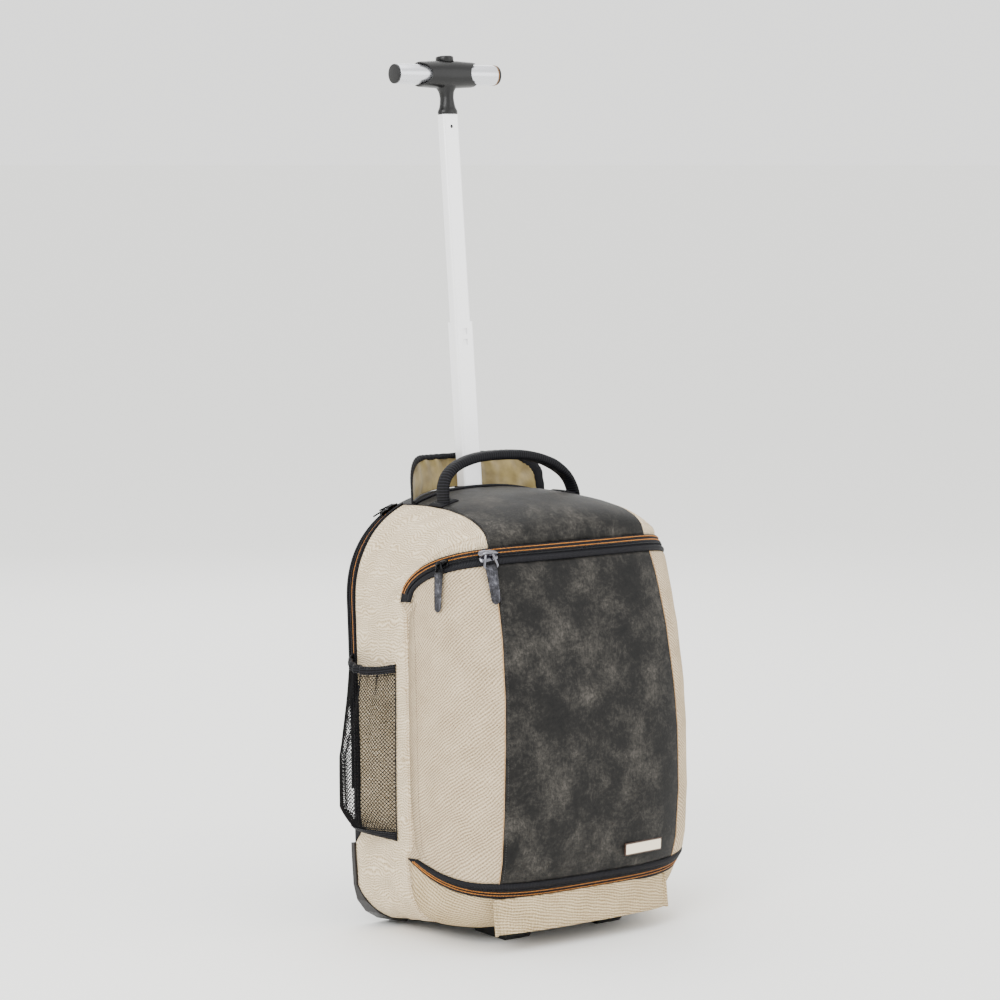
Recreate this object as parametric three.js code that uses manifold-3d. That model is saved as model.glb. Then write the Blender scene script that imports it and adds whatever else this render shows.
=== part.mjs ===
// Wheeled backpack, cabin size, with a telescopic pole: a canvas and leather shell on two corner wheels.
// Millimetres, +Z up, front towards -Y, +X to the right. The bag stands on its wheels and front feet and
// leans back, so the shell is drawn upright in a leaning group: x across, y deep (front is negative), z up.

import * as THREE from 'three';
import { mergeVertices } from 'three/addons/utils/BufferGeometryUtils.js';
import Module from 'manifold-3d';

const wasm = await Module();
wasm.setup();

// Driving dimensions

const leanDegrees = 5.8;
const gap = 0.3;
const canvasWall = 1.8;
const leatherWall = 2;
const paddedWall = 6;
const bandWall = 1.6;

const backPlane = 85.6;
const baseHalfWidth = 184;
const undersideHeight = 13;
const bottomCornerRadius = 46;
const shoulderHeight = 392;
const crownHeight = 525;
const crownRoundness = 2.3;

const sideSeamHalfWidth = 175;
const sideBulge = 3;
const frontDepth = 171;
const topZipHeight = 459;
const topZipDepth = 143;
const topZipBandWidth = 21;
const topZipEndHeight = 399;
const bottomZipHeight = 57;
const bottomZipBandWidth = 19;
const bottomZipEndHeight = 97;
const leatherHalfWidth = 122;
const leatherTopSpread = 0.945;
const leatherLowSpread = 1.045;
const crownLeatherHalfWidth = 93;

const mainZipWidth = 15;
const guardTopHeight = 118;
const guardWall = 2.6;
const guardFrontDepth = 34;
const guardHeelDepth = 3.4;
const guardHeelHeight = 84;
const guardHeelInset = 12;
const guardTurnX = 120;
const guardTurnHeight = 80;

const wheelRadius = 30;
const wheelWidth = 22;
const wheelTrackHalf = 98;
const wheelSetback = 68;
const wheelClearance = 3;
const axleRadius = 3;
const housingWall = 2.4;

const footHalfSpacing = 68;
const footWidth = 36;
const footFront = -80;
const footBack = -12;
const footBottomRound = 4;

const poleDepth = 62;
const upperTubeWidth = 23.2;
const upperTubeDepth = 14.2;
const tubeWall = 1.5;
const slideClearance = 0.4;
const poleCornerRadius = 3;
const upperTubeTop = 980.7;
const lowerTubeTop = 727.3;
const guideTop = 527;
const guideBottom = 24;
const upperTravel = 246;
const lowerTravel = 190;
const tubeOverlap = 86;
const lowerTubeTail = 19;
const windowSize = 7;
const windowDrops = [12, 25];
const pinHoleRadius = 2.2;
const pinHoleDrop = 15;

const neckLength = 48.8;
const gripAxisHeight = upperTubeTop + neckLength;
const gripLength = 153;
const gripDiameter = 24.5;
const hubWidth = 81;
const hubHeight = 34.5;
const neckWaist = 17;
const neckBase = 27;
const gripCapThickness = 3;
const buttonRadius = 11;
const buttonStand = 5;
const buttonTravel = 3;

const handleDepth = -15;
const handleHalfSpan = 100;
const handleRise = 51;
const handleWidth = 20;
const handleThickness = 12;
const handleTabSpread = 0.94;

const flapHalfWidth = 100;
const flapHeight = 51;
const flapWall = 2;
const flapBindingWidth = 7;
const flapSet = 3;
const flapCurl = 38;
const flapCorner = 30;
const flapFoot = 8;

const pocketFront = -16;
const pocketBack = 75;
const pocketBottom = 118;
const pocketTop = 326;
const pocketBulge = 43;
const pocketFrontSlant = 12;
const pocketRise = 10;
const pocketFullness = { low: 0.08, fullBy: 0.32, easesFrom: 0.45, mouth: 0.42 };
const pocketBelly = { lean: 1.15, squareness: 0.65 };
const netWall = 1.4;
const netColumns = 6;
const netRows = 7;
const netCord = 3;
const pocketTrimWidth = 9;

const skirtHalfWidth = 127;
const skirtTop = 46;
const skirtDrop = 37;
const skirtFlare = 2;

const badgeWidth = 61;
const badgeHeight = 15;
const badgeThickness = 1.6;
const badgeCentreX = 68;
const badgeCentreHeight = 90;

const sliderLength = 13;
const sliderWidth = 9;
const sliderHeight = 4;
const sliderCorner = 3;
const pullLength = 48;
const pullWidth = 9;
const pullThickness = 2.4;
const pullStand = 1.5;

// Finishes

const colours = {
  canvas: ['#cbbfab', 0.92, 0],
  leather: ['#3b3b3d', 0.6, 0],
  blackWeb: ['#1a1a1c', 0.85, 0],
  backPad: ['#202124', 0.9, 0],
  lining: ['#b79f6c', 0.45, 0],
  net: ['#222326', 0.8, 0],
  guardPlastic: ['#3c3737', 0.55, 0],
  gripPlastic: ['#17171a', 0.4, 0],
  tyre: ['#1c1c1d', 0.85, 0],
  steel: ['#8d8e92', 0.35, 1],
  aluminium: ['#e6e6ea', 0.3, 0.9],
  gunmetal: ['#77777c', 0.3, 1],
  plate: ['#eadfc8', 0.35, 0.8],
};

function finish(name) {
  const [color, roughness, metalness] = colours[name];
  return new THREE.MeshStandardMaterial({ color, roughness, metalness });
}

const bag = new THREE.Group();
const leaning = new THREE.Group();
leaning.rotation.x = -THREE.MathUtils.degToRad(leanDegrees);
bag.add(leaning);

function addPart(group, name, geometry, finishName) {
  const mesh = new THREE.Mesh(geometry, finish(finishName));
  mesh.name = name;
  group.add(mesh);
  return mesh;
}

// Small helpers: points, closed walls from grids, solids

const { lerp, clamp, degToRad } = THREE.MathUtils;
const point = (x, y, z) => new THREE.Vector3(x, y, z);

function signedVolume(positions, index) {
  let total = 0;
  const a = point();
  const b = point();
  const c = point();
  for (let i = 0; i < index.length; i += 3) {
    a.fromArray(positions, 3 * index[i]);
    b.fromArray(positions, 3 * index[i + 1]);
    c.fromArray(positions, 3 * index[i + 2]);
    total += a.dot(b.cross(c));
  }
  return total;
}

function closedGeometry(points, index) {
  const positions = points.flatMap((p) => [p.x, p.y, p.z]);
  if (signedVolume(positions, index) < 0) {
    index.reverse();
  }
  const geometry = new THREE.BufferGeometry();
  geometry.setAttribute('position', new THREE.Float32BufferAttribute(positions, 3));
  geometry.setIndex(index);
  return geometry;
}

// A wall from two grids of points with the same rows and columns: the outer skin and the inner skin.
function wallBetween(outer, inner) {
  const rows = outer.length;
  const columns = outer[0].length;
  const count = rows * columns;
  const index = [];
  const quad = (a, b, c, d) => index.push(a, b, c, a, c, d);
  for (let i = 0; i < rows - 1; i += 1) {
    for (let j = 0; j < columns - 1; j += 1) {
      const a = i * columns + j;
      quad(a, a + 1, a + columns + 1, a + columns);
      quad(count + a, count + a + columns, count + a + columns + 1, count + a + 1);
    }
  }
  for (let j = 0; j < columns - 1; j += 1) {
    const last = (rows - 1) * columns + j;
    quad(j + 1, j, count + j, count + j + 1);
    quad(last, last + 1, count + last + 1, count + last);
  }
  for (let i = 0; i < rows - 1; i += 1) {
    const left = i * columns;
    const right = left + columns - 1;
    quad(left, left + columns, count + left + columns, count + left);
    quad(right + columns, right, count + right, count + right + columns);
  }
  return closedGeometry([...outer.flat(), ...inner.flat()], index);
}

// A smooth inward direction that depends only on where a point lies, so neighbouring walls never cross.
function inward(p) {
  const share = [
    p.x / (baseHalfWidth * 0.97),
    (p.y + 40) / 128,
    (p.z - 262) / 256,
  ];
  const size = [baseHalfWidth, 128, 256];
  const slope = share.map((s, k) => Math.sign(s) * Math.abs(s) ** 5 / size[k]);
  return point(-slope[0], -slope[1], -slope[2]).normalize();
}

function thicken(grid, wall, lift = 0) {
  const outer = grid.map((row) => row.map((p) => p.clone().addScaledVector(inward(p), -lift)));
  const inner = grid.map((row) => row.map((p) => p.clone().addScaledVector(inward(p), wall - lift)));
  return wallBetween(outer, inner);
}

// Pulls the four edges of a grid in by half of the sewing gap, so that panels lie beside each other.
function trim(grid, margin = gap * 0.6) {
  const rows = grid.length;
  const columns = grid[0].length;
  const move = (p, towards) => {
    const step = towards.clone().sub(p);
    const length = step.length();
    return length > 1e-6 ? p.clone().addScaledVector(step, Math.min(margin / length, 0.45)) : p.clone();
  };
  const across = grid.map((row) => {
    const copy = row.map((p) => p.clone());
    copy[0] = move(row[0], row[1]);
    copy[columns - 1] = move(row[columns - 1], row[columns - 2]);
    return copy;
  });
  const result = across.map((row) => row.map((p) => p.clone()));
  for (let j = 0; j < columns; j += 1) {
    result[0][j] = move(across[0][j], across[1][j]);
    result[rows - 1][j] = move(across[rows - 1][j], across[rows - 2][j]);
  }
  return result;
}

function grid(rows, columns, at) {
  return Array.from({ length: rows + 1 }, (_, i) =>
    Array.from({ length: columns + 1 }, (_, j) => at(i / rows, j / columns)));
}

const mirrored = (points) => points.map((row) => row.map((p) => point(-p.x, p.y, p.z)));

function toSolid(geometry) {
  const bare = geometry.clone();
  bare.deleteAttribute('normal');
  bare.deleteAttribute('uv');
  const merged = mergeVertices(bare, 1e-4);
  return new wasm.Manifold(new wasm.Mesh({
    numProp: 3,
    vertProperties: new Float32Array(merged.attributes.position.array),
    triVerts: new Uint32Array(merged.index.array),
  }));
}

function fromSolid(solid) {
  const mesh = solid.getMesh();
  const geometry = new THREE.BufferGeometry();
  geometry.setAttribute('position', new THREE.BufferAttribute(new Float32Array(mesh.vertProperties), 3));
  geometry.setIndex(new THREE.BufferAttribute(new Uint32Array(mesh.triVerts), 1));
  return geometry;
}

function box(width, depth, height, x, y, z) {
  return new THREE.BoxGeometry(width, depth, height).translate(x, y, z);
}

function cylinder(radius, length, sides, x, y, z, axis) {
  const geometry = new THREE.CylinderGeometry(radius, radius, length, sides);
  if (axis === 'x') {
    geometry.rotateZ(Math.PI / 2);
  }
  if (axis === 'z') {
    geometry.rotateX(Math.PI / 2);
  }
  return geometry.translate(x, y, z);
}

function ring(axisPoints, sides) {
  return new THREE.LatheGeometry(axisPoints.map(([r, h]) => new THREE.Vector2(r, h)), sides);
}

// The shell's form

const superArc = (share, roundness) => (1 - Math.min(1, Math.abs(share)) ** roundness) ** (1 / roundness);

// Sections by height: back half-width, side seam and front centre as shares of the named sizes
const sections = [
  { height: 0.0, back: 0.99, seam: 0.97, seamDepth: 0.12, front: 0.66, corner: 3.0 },
  { height: 0.035, back: 1.0, seam: 0.985, seamDepth: 0.12, front: 0.76, corner: 3.0 },
  { height: 0.09, back: 1.0, seam: 1.0, seamDepth: 0.13, front: 0.835, corner: 3.2 },
  { height: 0.16, back: 1.0, seam: 1.01, seamDepth: 0.15, front: 0.9, corner: 3.5 },
  { height: 0.27, back: 0.99, seam: 1.015, seamDepth: 0.17, front: 0.955, corner: 3.7 },
  { height: 0.42, back: 0.965, seam: 1.01, seamDepth: 0.19, front: 0.995, corner: 3.7 },
  { height: 0.52, back: 0.955, seam: 1.0, seamDepth: 0.2, front: 1.0, corner: 3.7 },
  { height: 0.66, back: 0.94, seam: 0.995, seamDepth: 0.22, front: 0.975, corner: 3.6 },
  { height: 0.78, back: 0.93, seam: 0.99, seamDepth: 0.23, front: 0.925, corner: 3.3 },
  { height: 0.88, back: 0.92, seam: 0.985, seamDepth: 0.24, front: 0.868, corner: 3.0 },
];
const sectionKeys = ['back', 'seam', 'seamDepth', 'front', 'corner'];

function sectionAt(height) {
  const share = (height - undersideHeight) / (crownHeight - undersideHeight);
  const last = sections.length - 2;
  let k = 0;
  while (k < last && sections[k + 1].height < share) {
    k += 1;
  }
  const a = sections[k];
  const b = sections[k + 1];
  const t = clamp((share - a.height) / (b.height - a.height), 0, 1);
  const s = Object.fromEntries(sectionKeys.map((key) => [key, lerp(a[key], b[key], t)]));
  const turn = clamp(1 - (height - undersideHeight) / bottomCornerRadius, 0, 1);
  const rounding = bottomCornerRadius * (1 - superArc(turn, 2));
  return {
    back: s.back * baseHalfWidth - rounding,
    seam: s.seam * sideSeamHalfWidth - rounding * 0.9,
    seamDepth: -s.seamDepth * frontDepth,
    front: -s.front * frontDepth,
    corner: s.corner,
  };
}

// A point of the front skin: across is a share of the seam's half-width
function frontSkin(across, height) {
  const s = sectionAt(height);
  const y = s.seamDepth + (s.front - s.seamDepth) * superArc(across, s.corner);
  return point(across * s.seam, y, height);
}

// A point of the side skin: back is 1 at the back edge and 0 at the side seam
function sideSkin(back, height) {
  const s = sectionAt(height);
  const x = lerp(s.seam, s.back, back) + sideBulge * Math.sin(Math.PI * back);
  return point(x, lerp(s.seamDepth, backPlane, back), height);
}

// Band edges: how far a panel's front edge leaves the side seam to make room for a zip's end
const zipTail = 12;

function seamOffset(height) {
  const lowEnd = bottomZipEndHeight;
  const highEnd = topZipEndHeight;
  const low = bottomZipBandWidth / 2;
  const high = topZipBandWidth / 2;
  if (height <= lowEnd) {
    return low * clamp((height - undersideHeight) / (lowEnd - undersideHeight), 0, 1);
  }
  if (height <= lowEnd + zipTail) {
    return low * (1 - (height - lowEnd) / zipTail);
  }
  return high * clamp((height - highEnd + zipTail) / zipTail, 0, 1);
}

// The back outline above the shoulder, by share of its half-width
function backOutline(share) {
  const half = sectionAt(shoulderHeight).back;
  const z = shoulderHeight + (crownHeight - shoulderHeight) * superArc(share, crownRoundness);
  return point(share * half, backPlane, z);
}

// An edge of the top zip, by share of the seam's half-width: side is 1 on the crown and -1 on the pocket
const zipRoundness = 6;

function topZipEdge(share, side) {
  const end = sectionAt(topZipEndHeight);
  const top = topZipHeight - (side > 0 ? 0 : topZipBandWidth * 0.95);
  const front = -topZipDepth - (side > 0 ? 0 : topZipBandWidth * 0.33);
  const endDepth = end.seamDepth + side * topZipBandWidth / 2;
  const z = topZipEndHeight + (top - topZipEndHeight) * superArc(share, zipRoundness);
  const y = endDepth + (front - endDepth) * superArc(share, 3);
  return point(share * end.seam, y, z);
}

// An edge of the bottom zip: side is 1 on the pocket and -1 on the lower panel
function bottomZipEdge(share, side) {
  const arc = superArc(share, 4);
  const centre = bottomZipEndHeight + (bottomZipHeight - bottomZipEndHeight) * arc;
  const p = frontSkin(share, centre + side * arc * bottomZipBandWidth / 2);
  p.y -= side * bottomZipBandWidth / 2 * Math.abs(share) ** 8;
  return p;
}

// Rounded spacing, close together near the end of a share that runs from a start to 1
const spaced = (start, k) => start + (1 - start) * Math.sin(k * Math.PI / 2);

const backLeatherShare = crownLeatherHalfWidth / sectionAt(shoulderHeight).back;
const topLeatherShare = leatherTopSpread * leatherHalfWidth / sectionAt(topZipEndHeight).seam;
const lowLeatherShare = leatherLowSpread * leatherHalfWidth / sectionAt(bottomZipHeight).seam;

// The crown skin between the top zip and the back outline: back runs 0 to 1
function crownSkin(frontShare, backShare, back) {
  const front = topZipEdge(frontShare, 1);
  const rear = backOutline(backShare);
  const rise = superArc(1 - back, 2.3);
  return point(lerp(front.x, rear.x, back), lerp(front.y, rear.y, back), lerp(front.z, rear.z, rise));
}

// One row across the side, from the seam (0) to the back edge (1); row runs up the side and the shoulder
const cornerRows = [0, 1, 2, 3, 4].map((k) =>
  undersideHeight + bottomCornerRadius * (1 - Math.cos(k * Math.PI / 8)));
const lowRows = [...cornerRows, bottomZipEndHeight, bottomZipEndHeight + zipTail];
const tailRow = lowRows.length - 1;
const sideRows = tailRow + 6;
const shoulderRows = 6;

function sideRow(index) {
  if (index <= sideRows) {
    const k = index / sideRows;
    const rise = (index - tailRow) / (sideRows - tailRow - 1);
    const low = lowRows[index] ?? lerp(lowRows[tailRow], topZipEndHeight - zipTail, rise);
    const seamHeight = index === sideRows ? topZipEndHeight : low;
    const backHeight = index === sideRows ? shoulderHeight : low - (topZipEndHeight - shoulderHeight) * k;
    return (back) => {
      const seam = sideSkin(0, seamHeight);
      const rear = sideSkin(1, Math.max(backHeight, undersideHeight));
      seam.y += seamOffset(seamHeight);
      const p = seam.lerp(rear, back);
      p.x += sideBulge * Math.sin(Math.PI * back);
      return p;
    };
  }
  const k = (index - sideRows) / shoulderRows;
  const frontShare = Math.cos(k * Math.acos(topLeatherShare ** 3)) ** (1 / 3);
  const backShare = Math.cos(k * Math.acos(backLeatherShare ** 1.15)) ** (1 / 1.15);
  const bulge = sideBulge * (1 - k);
  return (back) => {
    const p = crownSkin(frontShare, backShare, back);
    p.x += bulge * Math.sin(Math.PI * back);
    return p;
  };
}

// Share along a row at which it reaches the main zip, which ends above the corner guard
function backShareAt(row, width) {
  const front = row(0).y;
  return (backPlane - width - front) / (backPlane - front);
}

// The main zip starts as a point beside the corner guard and is at full width one row further up
const mainZipStart = tailRow;
const mainZipPoint = 1.4;

function mainZipWidthAt(height) {
  return lerp(mainZipPoint, mainZipWidth, clamp((height - guardTopHeight + 8) / 12, 0, 1));
}

// Canvas side panels, one wall each from the underside over the shoulder to the leather

const lastSideRow = sideRows + shoulderRows;

function sidePanelGrid() {
  const columns = 6;
  return Array.from({ length: lastSideRow + 1 }, (_, i) => {
    const row = sideRow(i);
    const end = backShareAt(row, i < mainZipStart ? gap : mainZipWidthAt(row(1).z));
    return Array.from({ length: columns + 1 }, (__, j) => row(end * j / columns));
  });
}

const sideGrid = trim(sidePanelGrid());
addPart(leaning, 'side_panel_right', thicken(sideGrid, canvasWall), 'canvas');
addPart(leaning, 'side_panel_left', thicken(mirrored(sideGrid), canvasWall), 'canvas');

// The main zip, one strip down each back edge that stops above the corner guard

function mainZipGrid() {
  const rows = [];
  for (let i = mainZipStart; i <= lastSideRow; i += 1) {
    const row = sideRow(i);
    const start = backShareAt(row, mainZipWidthAt(row(1).z));
    rows.push([row(start), row((start + 1) / 2), row(1)]);
  }
  return rows;
}

const zipGrid = trim(mainZipGrid());
addPart(leaning, 'main_zip_right', thicken(zipGrid, bandWall), 'blackWeb');
addPart(leaning, 'main_zip_left', thicken(mirrored(zipGrid), bandWall), 'blackWeb');

// The leather crown and the black band behind it, which has the slot for the pole

const bandDepth = backPlane - 42;

function crownGrid(columns, rows, start, end) {
  return grid(rows, columns, (r, c) => {
    const k = 2 * c - 1;
    const row = (back) => crownSkin(Math.abs(k) * topLeatherShare, Math.abs(k) * backLeatherShare, back);
    const limit = (depth) => (depth === null ? 0 : backShareAt(row, depth));
    const p = row(lerp(limit(start), limit(end), r));
    return point(Math.sign(k) * p.x, p.y, p.z);
  });
}

addPart(leaning, 'top_panel', thicken(trim(crownGrid(10, 7, null, bandDepth)), leatherWall), 'leather');

const guideWidth = upperTubeWidth + 4 * tubeWall + 4 * slideClearance + 2;
const guideDepth = upperTubeDepth + 4 * tubeWall + 4 * slideClearance + 2;
const bandSolid = toSolid(thicken(trim(crownGrid(10, 2, bandDepth, 0)), bandWall));
const poleSlot = toSolid(box(guideWidth + 2 * gap, guideDepth + 2 * gap, 80, 0, poleDepth, crownHeight));
addPart(leaning, 'top_band', fromSolid(bandSolid.subtract(poleSlot)), 'blackWeb');

// The front pocket's face: leather in the middle, canvas to each side

function pocketPoint(lowShare, topShare, rise) {
  const low = bottomZipEdge(lowShare, 1);
  const top = topZipEdge(topShare, -1);
  const share = lerp(lowShare, topShare, rise ** 2);
  const p = frontSkin(share, lerp(low.z, top.z, rise));
  const lowFix = low.clone().sub(frontSkin(lowShare, low.z)).multiplyScalar((1 - rise) ** 8);
  const topFix = top.clone().sub(frontSkin(topShare, top.z)).multiplyScalar(rise ** 8);
  return p.add(lowFix).add(topFix);
}

const frontRows = 11;
addPart(leaning, 'front_panel', thicken(trim(grid(frontRows, 8, (r, c) => {
  const k = 2 * c - 1;
  return pocketPoint(k * lowLeatherShare, k * topLeatherShare, r);
})), leatherWall), 'leather');

function frontSideGrid() {
  const points = grid(frontRows, 6, (r, c) =>
    pocketPoint(spaced(lowLeatherShare, c), spaced(topLeatherShare, c), r));
  return points.map((row) => {
    const edge = row[row.length - 1];
    if (edge.z > bottomZipEndHeight && edge.z < topZipEndHeight) {
      const s = sectionAt(edge.z);
      edge.set(s.seam, s.seamDepth - seamOffset(edge.z), edge.z);
    }
    return row;
  });
}

const frontSide = trim(frontSideGrid());
addPart(leaning, 'front_side_right', thicken(frontSide, canvasWall), 'canvas');
addPart(leaning, 'front_side_left', thicken(mirrored(frontSide), canvasWall), 'canvas');

// Front zips: a strip between the two edges, with a short tail along the side seam

function zipShares(leatherShare) {
  const canvas = [1, 2, 3, 4, 5, 6].map((c) => spaced(leatherShare, c / 6));
  const leather = [-4, -3, -2, -1, 0, 1, 2, 3, 4].map((k) => leatherShare * k / 4);
  return [...canvas.map((share) => -share).reverse(), ...leather, ...canvas];
}

function zipStrip(edge, leatherShare, tailStep, endHeight) {
  const rows = zipShares(leatherShare).map((share) => {
    const a = edge(share, 1);
    const b = edge(share, -1);
    return [a, a.clone().lerp(b, 0.5), b];
  });
  const tail = (sign) => {
    const height = endHeight + tailStep;
    const s = sectionAt(height);
    return [-0.8, 0, 0.8].map((y) => point(sign * s.seam, s.seamDepth - y * Math.sign(tailStep) * -1, height));
  };
  return [tail(-1), ...rows, tail(1)];
}

addPart(leaning, 'top_zip',
  thicken(trim(zipStrip(topZipEdge, topLeatherShare, 2 - zipTail, topZipEndHeight)), bandWall), 'blackWeb');
addPart(leaning, 'bottom_zip',
  thicken(trim(zipStrip(bottomZipEdge, lowLeatherShare, zipTail - 2, bottomZipEndHeight)), bandWall), 'blackWeb');

// The lower panel wraps the front under the bottom zip

const lowerShares = zipShares(lowLeatherShare);
addPart(leaning, 'lower_panel', thicken(trim(grid(3, lowerShares.length - 1, (r, c) => {
  const share = lowerShares[Math.round(c * (lowerShares.length - 1))];
  const top = bottomZipEdge(share, -1);
  const skin = frontSkin(share, top.z);
  const p = frontSkin(share, lerp(top.z, undersideHeight, r));
  return p.add(top.clone().sub(skin).multiplyScalar(1 - r));
})), canvasWall), 'canvas');

// The wheels, on the floor under the leaning bag, and the moulded corner guards that house them

const leanSine = Math.sin(degToRad(leanDegrees));
const leanCosine = Math.cos(degToRad(leanDegrees));
const wheelHeight = (wheelRadius + wheelSetback * leanSine) / leanCosine;
const wellRadius = wheelRadius + wheelClearance;
const wellHalfWidth = wheelWidth / 2 + wheelClearance;
const housingRadius = wellRadius + housingWall;
const housingHalfWidth = wellHalfWidth + housingWall;
const guardBottom = undersideHeight - 3;
const guardPlateDepth = 3;
const guardSeat = backPlane + gap;

function archSolid(radius, halfWidth, bottom, x) {
  const arch = new THREE.Shape();
  arch.moveTo(radius, bottom);
  arch.lineTo(radius, 0);
  arch.absarc(0, 0, radius, 0, Math.PI, false);
  arch.lineTo(-radius, bottom);
  arch.closePath();
  const geometry = new THREE.ExtrudeGeometry(arch, { depth: 2 * halfWidth, bevelEnabled: false, curveSegments: 9 });
  geometry.rotateX(Math.PI / 2).rotateZ(Math.PI / 2);
  return geometry.translate(x - halfWidth, wheelSetback, wheelHeight);
}

const wheelWell = (grow) => toSolid(archSolid(housingRadius + grow, housingHalfWidth + grow, -80, wheelTrackHalf));

// The guard's outline seen from behind, from the underside round the corner and up the back edge
const guardOutline = [...cornerRows, 82, bottomZipEndHeight, guardTopHeight - 9];

function guardBandGrid(side) {
  return guardOutline.map((height) => {
    const s = sectionAt(height);
    const share = clamp((height - undersideHeight) / bottomCornerRadius, 0, 1);
    const depth = lerp(guardFrontDepth, guardHeelDepth, share);
    return [0, 0.33, 0.66, 1].map((k) => {
      const back = (backPlane - depth * (1 - k) - s.seamDepth) / (backPlane - s.seamDepth);
      const p = sideSkin(back, height);
      return point(side * p.x, p.y, p.z);
    });
  });
}

function shiftOut(points, side, distance) {
  return points.map((row) => row.map((p) => {
    const centre = point(side * guardTurnX, p.y, Math.max(p.z, guardTurnHeight));
    return p.clone().add(p.clone().sub(centre).setY(0).setLength(distance));
  }));
}

function guardGeometry(side) {
  const skin = guardBandGrid(side);
  const inner = shiftOut(skin, side, gap * 1.6);
  const outer = shiftOut(skin, side, gap * 1.6 + guardWall);
  const extended = (points) => points.map((row) => [...row, point(row[3].x, guardSeat + guardPlateDepth, row[3].z)]);
  const band = toSolid(wallBetween(extended(outer), extended(inner)));
  const plate = new THREE.Shape();
  const rim = outer.map((row) => [row[3].x, row[3].z]);
  plate.moveTo(side * (wheelTrackHalf - housingHalfWidth), guardBottom);
  rim.forEach(([x, z]) => plate.lineTo(x - side * 0.2, z));
  plate.lineTo(side * (rim.at(-1)[0] * side - 5), rim.at(-1)[1]);
  plate.lineTo(side * (baseHalfWidth - guardHeelInset), guardHeelHeight);
  plate.lineTo(side * (wheelTrackHalf + housingHalfWidth), wheelHeight + housingRadius);
  plate.lineTo(side * (wheelTrackHalf - housingHalfWidth), wheelHeight + housingRadius);
  plate.closePath();
  const plateGeometry = new THREE.ExtrudeGeometry(plate, { depth: guardPlateDepth, bevelEnabled: false });
  plateGeometry.rotateX(Math.PI / 2).translate(0, guardSeat + guardPlateDepth, 0);
  const housing = toSolid(archSolid(housingRadius, housingHalfWidth, guardBottom - wheelHeight,
    side * wheelTrackHalf));
  const well = toSolid(archSolid(wellRadius, wellHalfWidth, -80, side * wheelTrackHalf));
  const behind = toSolid(box(500, 100, 300, 0, guardSeat + guardPlateDepth + 50, 60));
  return fromSolid(band.add(toSolid(plateGeometry)).add(housing).subtract(well).subtract(behind));
}

// The wheel: a tyre with rounded shoulders on a dished hub, bored for its axle
function wheelGeometry(x) {
  const half = wheelWidth / 2;
  const bore = axleRadius + gap;
  const profile = [
    [bore, -half + 1], [13, -half + 1], [14, -half + 4], [22, -half + 4], [23, -half],
    [wheelRadius - 3, -half], [wheelRadius, -half + 4], [wheelRadius, half - 4], [wheelRadius - 3, half],
    [23, half], [22, half - 4], [14, half - 4], [13, half - 1], [bore, half - 1], [bore, -half + 1],
  ];
  return ring(profile, 18).rotateZ(Math.PI / 2).translate(x, wheelSetback, wheelHeight);
}

['right', 'left'].forEach((name) => {
  const side = name === 'right' ? 1 : -1;
  addPart(leaning, `corner_guard_${name}`, guardGeometry(side), 'guardPlastic');
  addPart(leaning, `wheel_${name}`, wheelGeometry(side * wheelTrackHalf), 'tyre');
  const axleLength = 2 * (wellHalfWidth - gap);
  addPart(leaning, `axle_${name}`,
    cylinder(axleRadius, axleLength, 16, side * wheelTrackHalf, wheelSetback, wheelHeight, 'x'), 'steel');
});

// The padded back panel closes the shell inside the back edge, notched round the wheel housings

const backInset = bandWall + 3 * gap;

function backOutlineShape() {
  const shape = new THREE.Shape();
  const low = undersideHeight + canvasWall + 4 * gap;
  const side = [low, ...cornerRows.slice(2), 115, 190, 265, 330, shoulderHeight];
  const right = side.map((z, i) => [sectionAt(z).back - backInset * (i < 3 ? 2.1 : 1.25), z]);
  const over = [0.2, 0.4, 0.6, 0.8].map((k) => {
    const p = backOutline(Math.cos(k * Math.PI / 2) ** (2 / crownRoundness));
    return [p.x - backInset, p.z - backInset * 1.1];
  });
  const points = [...right, ...over, [0, crownHeight - backInset * 1.1]];
  const all = [...points, ...points.slice(0, -1).reverse().map(([x, z]) => [-x, z])];
  all.forEach(([x, z], i) => (i === 0 ? shape.moveTo(x, z) : shape.lineTo(x, z)));
  shape.closePath();
  return shape;
}

const wells = wheelWell(gap * 2).add(toSolid(
  archSolid(housingRadius + gap * 2, housingHalfWidth + gap * 2, -80, -wheelTrackHalf)));
const backSlab = new THREE.ExtrudeGeometry(backOutlineShape(), { depth: paddedWall, bevelEnabled: false });
backSlab.rotateX(Math.PI / 2).translate(0, backPlane, 0);
addPart(leaning, 'back_panel', fromSolid(toSolid(backSlab).subtract(wells)), 'backPad');

// The base panel lies inside the lower edge of the shell

function basePanelShape() {
  const shape = new THREE.Shape();
  const s = sectionAt(undersideHeight);
  const inset = canvasWall + 4 * gap;
  const front = [0, 0.25, 0.5, 0.72, 0.88, 0.97].map((share) => {
    const p = frontSkin(share, undersideHeight);
    return [p.x * (1 - inset / s.seam), p.y + inset];
  });
  const right = [...front, [s.seam - inset - 1, s.seamDepth], [s.back - inset - 1, backPlane - paddedWall - gap]];
  const all = [...right, ...right.reverse().filter(([x]) => x > 0).map(([x, y]) => [-x, y])];
  all.forEach(([x, y], i) => (i === 0 ? shape.moveTo(x, y) : shape.lineTo(x, y)));
  shape.closePath();
  return shape;
}

const baseSlab = new THREE.ExtrudeGeometry(basePanelShape(), { depth: 2, bevelEnabled: false });
baseSlab.translate(0, 0, undersideHeight);
addPart(leaning, 'bottom_panel', fromSolid(toSolid(baseSlab).subtract(wells)), 'backPad');

// The feet stand on the floor under the front edge, cut to the leaning base

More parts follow.
